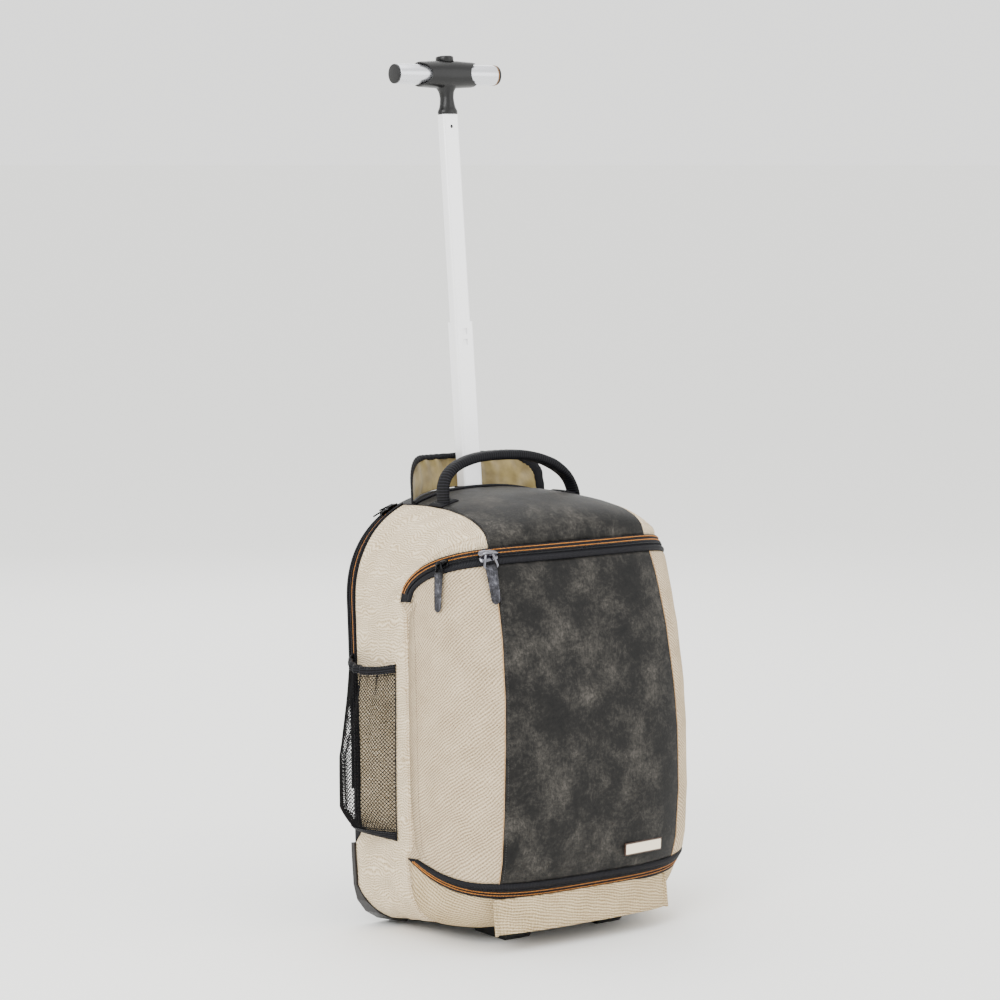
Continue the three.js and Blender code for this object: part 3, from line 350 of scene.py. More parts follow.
    def inward(self, p: Point) -> Point:
        """Return the smooth inward direction at a point, from its place alone."""
        size = np.array([self.base_half_width, 128, 256])
        share = (p - np.array([0, -40, 262])) / size / np.array([0.97, 1, 1])
        slope = np.sign(share) * np.abs(share) ** 5 / size
        return -slope / max(np.linalg.norm(slope), 1e-12)

    def raised(self, path: Sequence[Point], lift: float) -> np.ndarray:
        """Return a path's points lifted off the shell, in millimetres."""
        return np.array([p - self.inward(p) * lift for p in path])


FORM = BagForm()


def spaced(start: float, k: float) -> float:
    """Return shares from start to 1 that close up towards 1, for k from 0 to 1."""
    return start + (1 - start) * math.sin(k * math.pi / 2)


# ---- Meshes ----


class Mould:
    """Makes objects whose place is in their mesh, in the frame's metres."""

    @staticmethod
    def mesh(
        name: str,
        points: np.ndarray,
        faces: Sequence[Sequence[int]],
        uv: np.ndarray | None = None,
        flat: bool = False,
    ) -> bpy.types.Object:
        """Make an object from points already in metres.

        Args:
            name: The piece's name.
            points: Array of points, one row each.
            faces: Corner numbers of each face.
            uv: Pattern coordinates in millimetres, one row per point.
            flat: Leaves the faces flat instead of smooth.

        Returns:
            The new object, linked to the scene.
        """
        data = bpy.data.meshes.new(name)
        data.from_pydata([tuple(p) for p in points], [], [tuple(f) for f in faces])
        if uv is not None:
            layer = data.uv_layers.new(name="UVMap")
            corner = np.zeros(len(data.loops), np.int32)
            data.loops.foreach_get("vertex_index", corner)
            layer.data.foreach_set("uv", uv[corner].astype(np.float32).ravel())
        data.polygons.foreach_set("use_smooth", [not flat] * len(data.polygons))
        data.update()
        made = bpy.data.objects.new(name, data)
        bpy.context.scene.collection.objects.link(made)
        return made

    @classmethod
    def solid(
        cls,
        name: str,
        points: Sequence[Point],
        faces: list[tuple[int, ...]],
        uv: np.ndarray | None = None,
        flat: bool = False,
    ) -> bpy.types.Object:
        """Make a closed object from points of the leaning frame, its faces turned outward.

        Args:
            name: The piece's name.
            points: Points in millimetres.
            faces: Corner numbers of each face, all turned the same way.
            uv: Pattern coordinates in millimetres, one row per point.
            flat: Leaves the faces flat instead of smooth.

        Returns:
            The new object.
        """
        points = np.array(points)
        if cls.volume(points, faces) < 0:
            faces = [face[::-1] for face in faces]
        return cls.mesh(name, FORM.place(points), faces, uv, flat)

    @staticmethod
    def ring_faces(
        rings: int, sides: int, closed: bool = False, caps: tuple[bool, bool] = (True, True)
    ) -> list[tuple[int, ...]]:
        """Return the faces that join rings of points.

        Args:
            rings: How many rings there are.
            sides: Points in each ring.
            closed: Joins the last ring to the first one.
            caps: Whether the first and the last ring are filled.

        Returns:
            Corner numbers of each face, all turned the same way.
        """
        faces = []
        for i in range(rings if closed else rings - 1):
            a, b = i * sides, (i + 1) % rings * sides
            for k in range(sides):
                n = (k + 1) % sides
                faces.append((a + k, a + n, b + n, b + k))
        if caps[0] and not closed:
            faces.append(tuple(range(sides))[::-1])
        if caps[1] and not closed:
            faces.append(tuple((rings - 1) * sides + k for k in range(sides)))
        return faces

    @classmethod
    def loft(
        cls,
        name: str,
        rings: Sequence[Sequence[Point]],
        uv: Sequence[tuple[float, float]] | None = None,
        flat: bool = False,
    ) -> bpy.types.Object:
        """Make a closed body through rings of points, with flat ends."""
        points = [p for ring in rings for p in ring]
        faces = cls.ring_faces(len(rings), len(rings[0]))
        return cls.solid(name, points, faces, None if uv is None else np.array(uv), flat)

    @staticmethod
    def grid(rows: int, columns: int, at: SkinAt) -> np.ndarray:
        """Return a grid of points, at(row share, column share) for each."""
        return np.array(
            [[at(r / rows, c / columns) for c in range(columns + 1)] for r in range(rows + 1)]
        )

    @staticmethod
    def pattern(points: np.ndarray) -> np.ndarray:
        """Return each grid point's place on the cloth, from lengths along rows and columns."""
        across = np.linalg.norm(np.diff(points, axis=1), axis=2)
        along = np.linalg.norm(np.diff(points, axis=0), axis=2)
        u = np.concatenate([np.zeros((len(points), 1)), np.cumsum(across, axis=1)], axis=1)
        u -= u[:, [-1]] / 2
        v = np.concatenate([[0.0], np.cumsum(along.mean(axis=1))])
        return np.stack([u, np.repeat(v[:, None], u.shape[1], axis=1)], axis=-1)

    @classmethod
    def wall(
        cls,
        name: str,
        outer: np.ndarray,
        thickness: float,
        lift: float = 0.0,
        direction: Callable[[Point], Point] = FORM.inward,
    ) -> bpy.types.Object:
        """Make a closed wall under a grid of skin points.

        Args:
            name: The piece's name.
            outer: Grid of points in the leaning frame, millimetres.
            thickness: The wall's thickness.
            lift: How far the skin stands off the grid.
            direction: Gives the inward direction at a point.

        Returns:
            The wall, with its cloth coordinates as UV.
        """
        ways = np.array([[direction(p) for p in row] for row in outer])
        skin = outer - ways * lift
        inner = skin + ways * thickness
        rows, columns = outer.shape[:2]
        count = rows * columns
        number = np.arange(count).reshape(rows, columns)
        faces = []
        for i in range(rows - 1):
            for j in range(columns - 1):
                a, b, c, d = number[i, j], number[i, j + 1], number[i + 1, j + 1], number[i + 1, j]
                faces.append((a, b, c, d))
                faces.append((count + a, count + d, count + c, count + b))
        loop = [*number[0], *number[1:, -1], *number[-1, -2::-1], *number[-2:0:-1, 0]]
        for a, b in zip(loop, loop[1:] + loop[:1]):
            faces.append((b, a, count + a, count + b))
        points = np.concatenate([skin.reshape(-1, 3), inner.reshape(-1, 3)])
        uv = cls.pattern(outer).reshape(-1, 2)
        return cls.solid(name, points, faces, np.concatenate([uv, uv]))

    @staticmethod
    def lay_uv(piece: bpy.types.Object) -> None:
        """Give a piece cloth coordinates from its depth and height, in millimetres."""
        data = piece.data
        place = np.zeros(len(data.vertices) * 3)
        data.vertices.foreach_get("co", place)
        corner = np.zeros(len(data.loops), np.int32)
        data.loops.foreach_get("vertex_index", corner)
        layer = data.uv_layers.get("UVMap") or data.uv_layers.new(name="UVMap")
        uv = place.reshape(-1, 3)[corner][:, 1:] / MM
        layer.data.foreach_set("uv", uv.astype(np.float32).ravel())

    @staticmethod
    def volume(points: np.ndarray, faces: Sequence[Sequence[int]]) -> float:
        """Return six times the volume inside closed faces; under 0 means inside out."""
        total = 0.0
        for face in faces:
            for k in range(1, len(face) - 1):
                a, b, c = points[face[0]], points[face[k]], points[face[k + 1]]
                total += float(np.dot(a, np.cross(b, c)))
        return total

    @classmethod
    def tube(
        cls,
        name: str,
        path: np.ndarray,
        radius: float | Sequence[float],
        sides: int = 8,
        squash: tuple[float, float] = (1.0, 1.0),
        closed: bool = False,
        up: Point | None = None,
    ) -> bpy.types.Object:
        """Make a round or oval rod along a path of the leaning frame.

        Args:
            name: The piece's name.
            path: Points in millimetres.
            radius: One radius, or one for each point.
            sides: Faces round the rod.
            squash: Scale along the path's side and along its up direction.
            closed: Joins the end to the start.
            up: Preferred up direction, for the oval.

        Returns:
            The rod, with its length in millimetres along UV's v.
        """
        path = np.asarray(path, float)
        steps = np.gradient(path, axis=0)
        if closed:
            steps = np.roll(path, -1, 0) - np.roll(path, 1, 0)
        ways = steps / np.linalg.norm(steps, axis=1)[:, None]
        guide = np.array([0.0, 0.0, 1.0]) if up is None else np.asarray(up, float)
        radii = np.full(len(path), radius) if np.isscalar(radius) else np.asarray(radius, float)
        rings, previous = [], None
        for way in ways:
            side = previous - way * previous.dot(way) if rings else np.cross(way, guide)
            if np.linalg.norm(side) < 1e-6:
                side = np.cross(way, [0.3, 1.0, 0.2])
            side /= np.linalg.norm(side)
            previous = side
            rings.append((side, np.cross(side, way)))
        points, uv = [], []
        for place, (side, rise), r, along in zip(path, rings, radii, lengths_along(path)):
            for turn in round_turns(sides):
                a, b = math.cos(turn) * r * squash[0], math.sin(turn) * r * squash[1]
                points.append(place + side * a + rise * b)
                uv.append((turn * r, along))
        return cls.solid(name, points, cls.ring_faces(len(path), sides, closed), np.array(uv))


def evaluated(piece: bpy.types.Object) -> bpy.types.Object:
    """Turn a piece's modifiers into its plain mesh."""
    bpy.context.view_layer.update()
    graph = bpy.context.evaluated_depsgraph_get()
    data = bpy.data.meshes.new_from_object(piece.evaluated_get(graph))
    piece.modifiers.clear()
    piece.data = data
    return piece


def carve(piece: bpy.types.Object, cutters: Sequence[bpy.types.Object], solver: str) -> None:
    """Cut closed pieces out of another one and remove them."""
    for cutter in cutters:
        step = piece.modifiers.new("cut", "BOOLEAN")
        step.operation = "DIFFERENCE"
        step.object = cutter
        step.solver = solver
    evaluated(piece)
    for cutter in cutters:
        bpy.data.objects.remove(cutter)


def finish_piece(
    piece: bpy.types.Object,
    finish: "Palette",
    body: str,
    slot: str,
    replaces: Sequence[str] = (),
) -> bpy.types.Object:
    """Dress a piece, set it riding on its body and hide the CAD nodes it stands for.

    Args:
        piece: The object.
        finish: What it is made of.
        body: The body it rides on.
        slot: Not used.
        replaces: CAD nodes it stands for.

    Returns:
        The same object.
    """
    piece.data.materials.clear()
    piece.data.materials.append(finish.material)
    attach(piece, body)
    if replaces:
        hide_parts(*replaces)
    LOG.info("%s rides on %s", piece.name, body)
    return piece


# ---- Finishes ----


def hex_colour(code: str) -> tuple[float, float, float, float]:
    """Turn an sRGB hex value into the linear colour that shaders take."""
    channels = [int(code[k : k + 2], 16) / 255 for k in (1, 3, 5)]
    linear = [c / 12.92 if c <= 0.04045 else ((c + 0.055) / 1.055) ** 2.4 for c in channels]
    return (*linear, 1.0)


def add_node(
    tree: bpy.types.NodeTree, kind: str, inputs: dict | None = None, **settings: object
) -> bpy.types.Node:
    """Add a node with its settings, values and links.

    Args:
        tree: The tree it goes into.
        kind: Its type name.
        inputs: Values, or sockets to link from, by input name or number.
        **settings: Properties of the node.

    Returns:
        The new node.
    """
    node = tree.nodes.new(kind)
    for name, value in settings.items():
        setattr(node, name, value)
    for key, value in (inputs or {}).items():
        if isinstance(value, bpy.types.NodeSocket):
            tree.links.new(value, node.inputs[key])
        else:
            node.inputs[key].default_value = value
    return node


@dataclass(frozen=True)
class Pattern:
    """A material's node tree and shader, with the steps that the finishes share."""

    tree: bpy.types.NodeTree
    shader: bpy.types.Node

    def put(self, values: dict) -> None:
        """Set or link the shader's inputs, by name."""
        for name, value in values.items():
            if isinstance(value, bpy.types.NodeSocket):
                self.tree.links.new(value, self.shader.inputs[name])
            else:
                self.shader.inputs[name].default_value = value

    def cloth(self) -> bpy.types.NodeSocket:
        """Return the cloth coordinates: millimetres along and across the piece."""
        return add_node(self.tree, "ShaderNodeUVMap", uv_map="UVMap").outputs["UV"]

    def place(self) -> bpy.types.NodeSocket:
        """Return the object coordinates, in metres."""
        return add_node(self.tree, "ShaderNodeTexCoord").outputs["Object"]

    def vector(self, operation: str, inputs: dict) -> bpy.types.NodeSocket:
        """Return the result of one step on vectors."""
        node = add_node(self.tree, "ShaderNodeVectorMath", inputs, operation=operation)
        return node.outputs["Vector"]

    def waves(self, in_a_metre: float) -> bpy.types.NodeSocket:
        """Return object coordinates that count waves, so many in a metre."""
        return self.vector("SCALE", {0: self.place(), "Scale": in_a_metre})

    def calc(self, operation: str, *values: float | bpy.types.NodeSocket) -> bpy.types.NodeSocket:
        """Return the result of one arithmetic step on sockets or numbers."""
        inputs = dict(enumerate(values))
        return add_node(self.tree, "ShaderNodeMath", inputs, operation=operation).outputs["Value"]

    def gain(self, value: bpy.types.NodeSocket, by: float, plus: float) -> bpy.types.NodeSocket:
        """Return a value times one number plus another, a number or a socket."""
        return self.calc("MULTIPLY_ADD", value, by, plus)

    def noise(
        self,
        place: bpy.types.NodeSocket,
        scale: float = 1.0,
        detail: float = 2.0,
        roughness: float = 0.5,
        output: str = "Fac",
    ) -> bpy.types.NodeSocket:
        """Return noise over a place."""
        values = {"Vector": place, "Scale": scale, "Detail": detail, "Roughness": roughness}
        return add_node(self.tree, "ShaderNodeTexNoise", values).outputs[output]

    def warped(
        self, place: bpy.types.NodeSocket, scale: float, detail: float, reach: float
    ) -> bpy.types.NodeSocket:
        """Return a place pushed about by noise, so that straight lines wander."""
        push = self.noise(place, scale, detail, output="Color")
        push = self.vector("SCALE", {0: push, "Scale": reach})
        return self.vector("ADD", {0: place, 1: push})

    def turned(
        self, place: bpy.types.NodeSocket, degrees: float, scale: Sequence[float] = (1.0, 1.0, 1.0)
    ) -> bpy.types.NodeSocket:
        """Return a place turned in the cloth's plane, and scaled."""
        values = {"Vector": place, "Rotation": (0, 0, math.radians(degrees)), "Scale": scale}
        return add_node(self.tree, "ShaderNodeMapping", values).outputs["Vector"]

    def ribs(self, place: bpy.types.NodeSocket, axis: str, spacing: float) -> bpy.types.NodeSocket:
        """Return waves from -1 to 1 along one axis of a place, a spacing apart."""
        along = add_node(self.tree, "ShaderNodeSeparateXYZ", {"Vector": place}).outputs[axis]
        return self.calc("SINE", self.calc("MULTIPLY", along, 2 * math.pi / spacing))

    def paint(self, factor: bpy.types.NodeSocket, stops: Sequence[tuple[float, str]]) -> None:
        """Colour the shader by hex stops as a factor goes from 0 to 1."""
        node = add_node(self.tree, "ShaderNodeValToRGB", {"Fac": factor})
        elements = node.color_ramp.elements
        while len(elements) < len(stops):
            elements.new(0.5)
        for element, (place, code) in zip(elements, stops):
            element.position = place
            element.color = hex_colour(code)
        self.put({"Base Color": node.outputs["Color"]})

    def tint(self, factor: bpy.types.NodeSocket, code: str, strength: float) -> None:
        """Colour the shader by one hex value that drifts to itself times a strength."""
        colour = hex_colour(code)
        drift = tuple(c * strength for c in colour[:3]) + (1.0,)
        values = {"Factor": factor, "A": colour, "B": drift}
        mix = add_node(self.tree, "ShaderNodeMix", values, data_type="RGBA")
        self.put({"Base Color": mix.outputs[2]})

    def bump(self, height: bpy.types.NodeSocket, strength: float, distance: float) -> None:
        """Raise the surface by a height, over a distance in metres."""
        values = {"Height": height, "Strength": strength, "Distance": distance}
        self.put({"Normal": add_node(self.tree, "ShaderNodeBump", values).outputs["Normal"]})


@dataclass(frozen=True)
class Finish:
    """A finish: a material made once and shared by the pieces that have it."""

    name: str

    def build(self, on: Pattern) -> None:
        """Wire the finish's pattern into its shader."""

    def material(self) -> bpy.types.Material:
        """Return the finish's material, made on first use."""
        made = bpy.data.materials.get(self.name)
        if made is None:
            made = bpy.data.materials.new(self.name)
            made.use_nodes = True
            tree = made.node_tree
            tree.nodes.clear()
            shader = add_node(tree, "ShaderNodeBsdfPrincipled")
            add_node(tree, "ShaderNodeOutputMaterial", {"Surface": shader.outputs["BSDF"]})
            self.build(Pattern(tree, shader))
        return made


@dataclass(frozen=True)
class CanvasTwill(Finish):
    """Melange polyester twill, woven: pale beige yarns in slanted ribs, dull, with a soft nap."""

    light: str = "#DECBAC"
    middle: str = "#B5A184"
    dark: str = "#6B5A42"
    # rib spacing in mm: the real twill has about 0.8 mm, drawn a little coarser so that it shows
    rib: float = 3.4
    slant: float = -55.0
    wander: float = 2.0

    def build(self, on: Pattern) -> None:
        """Weave ribs across the cloth coordinates, broken up by slubs, stains and specks."""
        place = on.cloth()
        turned = on.turned(on.warped(place, 0.035, 2.0, self.wander * 4), self.slant)
        yarn = on.ribs(turned, "Y", self.rib / 0.9)
        weave = on.gain(yarn, 0.3, on.ribs(turned, "X", self.rib))
        slub = on.noise(place, 0.55, 3.0)
        stain = on.noise(place, 0.03, 4.0)
        speck = on.noise(place, 0.8, 3.0, 0.7)
        tone = on.gain(weave, 0.2, 0.5)
        for spot, by, less in ((slub, 0.5, -0.25), (stain, 0.35, -0.17), (speck, 1.5, -0.75)):
            tone = on.calc("ADD", tone, on.gain(spot, by, less))
        on.paint(tone, [(0.05, self.dark), (0.48, self.middle), (0.85, self.light)])
        on.bump(on.gain(slub, 1.2, weave), 0.7, 0.0005)
        on.put({"Roughness": 0.92, "Specular IOR Level": 0.15})


@dataclass(frozen=True)
class DistressedLeather(Finish):
    """Pull-up leather, waxed and buffed: charcoal with paler rubbed clouds and fine scratches."""

    dark: str = "#0B0B0B"
    middle: str = "#181716"
    rubbed: str = "#302E2B"
    light: str = "#57534E"
    # degrees and waves in a millimetre of the three sets of scratches
    scratches: tuple[tuple[float, float], ...] = ((24, 0.45), (-38, 0.54), (78, 0.405))
    sharpness: float = 38.0

    def build(self, on: Pattern) -> None:
        """Cloud the colour at palm size, scratch it finely and grain it at about 1 mm."""
        place = on.cloth()
        moved = on.warped(place, 0.02, 3.0, 22.0)
        cloud = on.noise(moved, 0.022, 7.0, 0.68)
        fine = on.noise(moved, 0.25, 5.0, 0.7)
        tone = on.gain(fine, 0.5, on.gain(cloud, 0.95, -0.14))
        scratch = 0.0
        for degrees, waves in self.scratches:
            line = on.noise(on.turned(moved, degrees, (1.0, 0.06, 1.0)), waves)
            far = on.calc("ABSOLUTE", on.calc("SUBTRACT", line, 0.5))
            sharp = on.calc("SUBTRACT", 1.0, on.calc("MULTIPLY", far, self.sharpness))
            scratch = on.calc("MAXIMUM", sharp, scratch)
        worn = on.calc("MAXIMUM", on.gain(cloud, 2.0, -0.6), 0.0)
        patch = on.calc("MULTIPLY", scratch, worn)
        tone = on.gain(patch, 0.16, tone)
        stops = [(0.4, self.dark), (0.56, self.middle), (0.7, self.rubbed), (0.95, self.light)]
        on.paint(tone, stops)
        grain = add_node(on.tree, "ShaderNodeTexVoronoi", {"Vector": place, "Scale": 0.9})
        height = on.gain(fine, 1.5, grain.outputs["Distance"])
        on.bump(on.gain(patch, -0.5, height), 0.35, 0.0004)
        on.put({"Roughness": on.gain(tone, 0.3, 0.38), "Specular IOR Level": 0.16})


@dataclass(frozen=True)
class RibbedTape(Finish):
    """Nylon tape, woven with ribs: near-black and dull, with a faint shine on the threads."""

    colour: str = "#020203"
    shine: str = "#2C2C31"
    # rib spacing in mm, across the tape's length
    rib: float = 1.8
    slant: float = 0.0
    roughness: float = 0.62

    def build(self, on: Pattern) -> None:
        """Rib the tape in its cloth coordinates and fuzz it with fine noise."""
        place = on.cloth()
        rib = on.ribs(on.turned(place, self.slant), "Y", self.rib)
        tone = on.gain(rib, 0.3, on.noise(place, 1.1, 3.0))
        on.paint(tone, [(0.35, self.colour), (0.95, self.shine)])
        on.bump(tone, 0.6, 0.0005)
        on.put({"Roughness": self.roughness, "Specular IOR Level": 0.12})


@dataclass(frozen=True)
class MouldedPlastic(Finish):
    """Injection-moulded nylon or ABS: one even colour, a fine spark-eroded grain, satin shine."""

    colour: str = "#18181A"
    roughness: float = 0.38
    # grain size in mm
    grain: float = 0.5
    depth: float = 0.00006

    def build(self, on: Pattern) -> None:
        """Grain the surface and let its gloss wander where hands rub it."""
        wide = on.noise(on.waves(40.0), detail=4.0)
        on.tint(wide, self.colour, 1.5)
        on.bump(on.noise(on.waves(1 / (self.grain * MM))), 0.5, self.depth)
        rough = on.gain(wide, 0.16, self.roughness - 0.08)
        on.put({"Roughness": rough, "Specular IOR Level": 0.35})


@dataclass(frozen=True)
class SatinMetal(Finish):
    """Aluminium, anodised satin, or plated zinc: pale, drawn along its length, soft reflections."""

    colour: str = "#F1F1F5"
    metallic: float = 0.75
    roughness: float = 0.34
    # spacing of the drawing lines in mm, coarser than the real ones so that they show
    lines: float = 0.6
    depth: float = 0.00002

    def build(self, on: Pattern) -> None:
        """Draw faint lines along the piece's height and vary its gloss."""
        spread = 1 / (self.lines * MM)
        drawn = on.noise(on.turned(on.place(), 0, (spread, spread, spread / 60)))
        on.tint(drawn, self.colour, 0.93)
        on.bump(drawn, 0.3, self.depth)
        rough = on.gain(drawn, 0.12, self.roughness - 0.06)
        on.put({"Roughness": rough, "Metallic": self.metallic})


@dataclass(frozen=True)
class SatinLining(Finish):
    """Polyester satin, woven: khaki gold, smooth, with a bright soft sheen and a ripstop shadow."""

    light: str = "#A5925C"
    dark: str = "#75643A"

    def build(self, on: Pattern) -> None:
        """Paint shade into the cloth's creases, by the same noise that wrinkles it, and wrinkle it
        lightly.
        """
        place = on.cloth()
        crease = on.noise(place, 0.05, 4.0)
        tone = on.gain(on.noise(place, 1.6, 1.0), 0.15, crease)
        # painted shade: the colour follows the crease noise that also raises the bump, dark in the
        # hollows of the folds
        on.paint(tone, [(0.45, self.dark), (0.85, self.light)])
        on.bump(crease, 0.35, 0.004)
        on.put({"Roughness": 0.4, "Sheen Weight": 0.3})


@dataclass(frozen=True)
class DyedThread(Finish):
    """Polyester thread, twisted: one strong colour with darker turns between its plies."""

    colour: str = "#DE8A0A"
    shade: str = "#7A4304"

    def build(self, on: Pattern) -> None:
        """Darken the turns by the noise of the twist."""
        on.paint(on.noise(on.waves(900.0), detail=1.0), [(0.25, self.shade), (0.6, self.colour)])
        on.put({"Roughness": 0.55, "Sheen Weight": 0.2})


class Palette(Enum):
    """The bag's finishes, by the thing each one covers."""

    CANVAS = CanvasTwill("beige_canvas_twill")
    # a paler copy of the canvas twill for the side panels: painted light, standing in for the light
    # that falls on the sides and shoulders
    LIT_SHOULDER = CanvasTwill(
        "beige_canvas_painted_lit",
        light="#EEDDC1",
        middle="#D0BC9B",
        dark="#8A7656",
        slant=86.0,
        wander=7.0,
    )
    SKIRT = CanvasTwill(
        "beige_canvas_lower", light="#DCC9A6", middle="#B29D79", dark="#6B5839", slant=80.0
    )
    LEATHER = DistressedLeather("distressed_leather")
    PULL = DistressedLeather(
        "pebbled_black_leather", dark="#030303", middle="#141416", rubbed="#3E3E44", light="#85858E"
    )
    TAPE = RibbedTape("black_woven_tape")
    WEBBING = RibbedTape("black_ribbed_webbing", rib=3.2, shine="#242429")
    PIPING = RibbedTape("black_piping", rib=2.2, roughness=0.5)
    BACKING = RibbedTape(
        "black_air_mesh", colour="#0E0F11", shine="#26272B", rib=3.0, slant=45.0, roughness=0.85
    )
    NET = RibbedTape("black_net_cord", colour="#070708", shine="#18181B", rib=1.2)
    COIL = MouldedPlastic("black_nylon_coil", colour="#0C0D11", roughness=0.3)
    GRIP = MouldedPlastic("black_grip_nylon", colour="#09090A", roughness=0.36)
    GUARD = MouldedPlastic("grey_guard_plastic", colour="#171414", roughness=0.5, grain=0.8)
    FOOT = MouldedPlastic("black_foot_plastic", colour="#0C0C0C", roughness=0.5)
    RUBBER = MouldedPlastic("black_tyre_rubber", colour="#0E0E0F", roughness=0.75)
    RING = MouldedPlastic("brown_ring_plastic", colour="#6B4A26", roughness=0.45)
    TUBE = SatinMetal("satin_anodised_aluminium", colour="#FDFDFE", metallic=0.25, roughness=0.3)
    BAR = SatinMetal("bright_anodised_aluminium", colour="#D8D9DE", metallic=0.85, roughness=0.28)
    CHROME = SatinMetal("polished_nickel_plate", colour="#77777E", metallic=1.0, roughness=0.12)
    GUNMETAL = SatinMetal("black_nickel_plate", colour="#151517", metallic=0.9, roughness=0.25)
    STEEL = SatinMetal("zinc_plated_steel", colour="#8D8E92", metallic=1.0, roughness=0.3)
    PLATE = SatinMetal("champagne_brushed_plate", colour="#F2E6CE", metallic=0.55, roughness=0.3)
    PLATE_RIM = MouldedPlastic("brown_enamel_rim", colour="#3A2A22", roughness=0.3)
    LINING = SatinLining("khaki_satin_lining")
    ORANGE = DyedThread("orange_thread")
    TAN = DyedThread("tan_thread", colour="#B89468", shade="#7B5B38")
    BROWN_THREAD = DyedThread("brown_thread", colour="#5E4A2E", shade="#33281A")
    BLACK_THREAD = DyedThread("black_thread", colour="#0D0D0E", shade="#050505")

    @property
    def material(self) -> bpy.types.Material:
        """The finish's material."""
        return self.value.material()


# ---- Repeated pieces ----


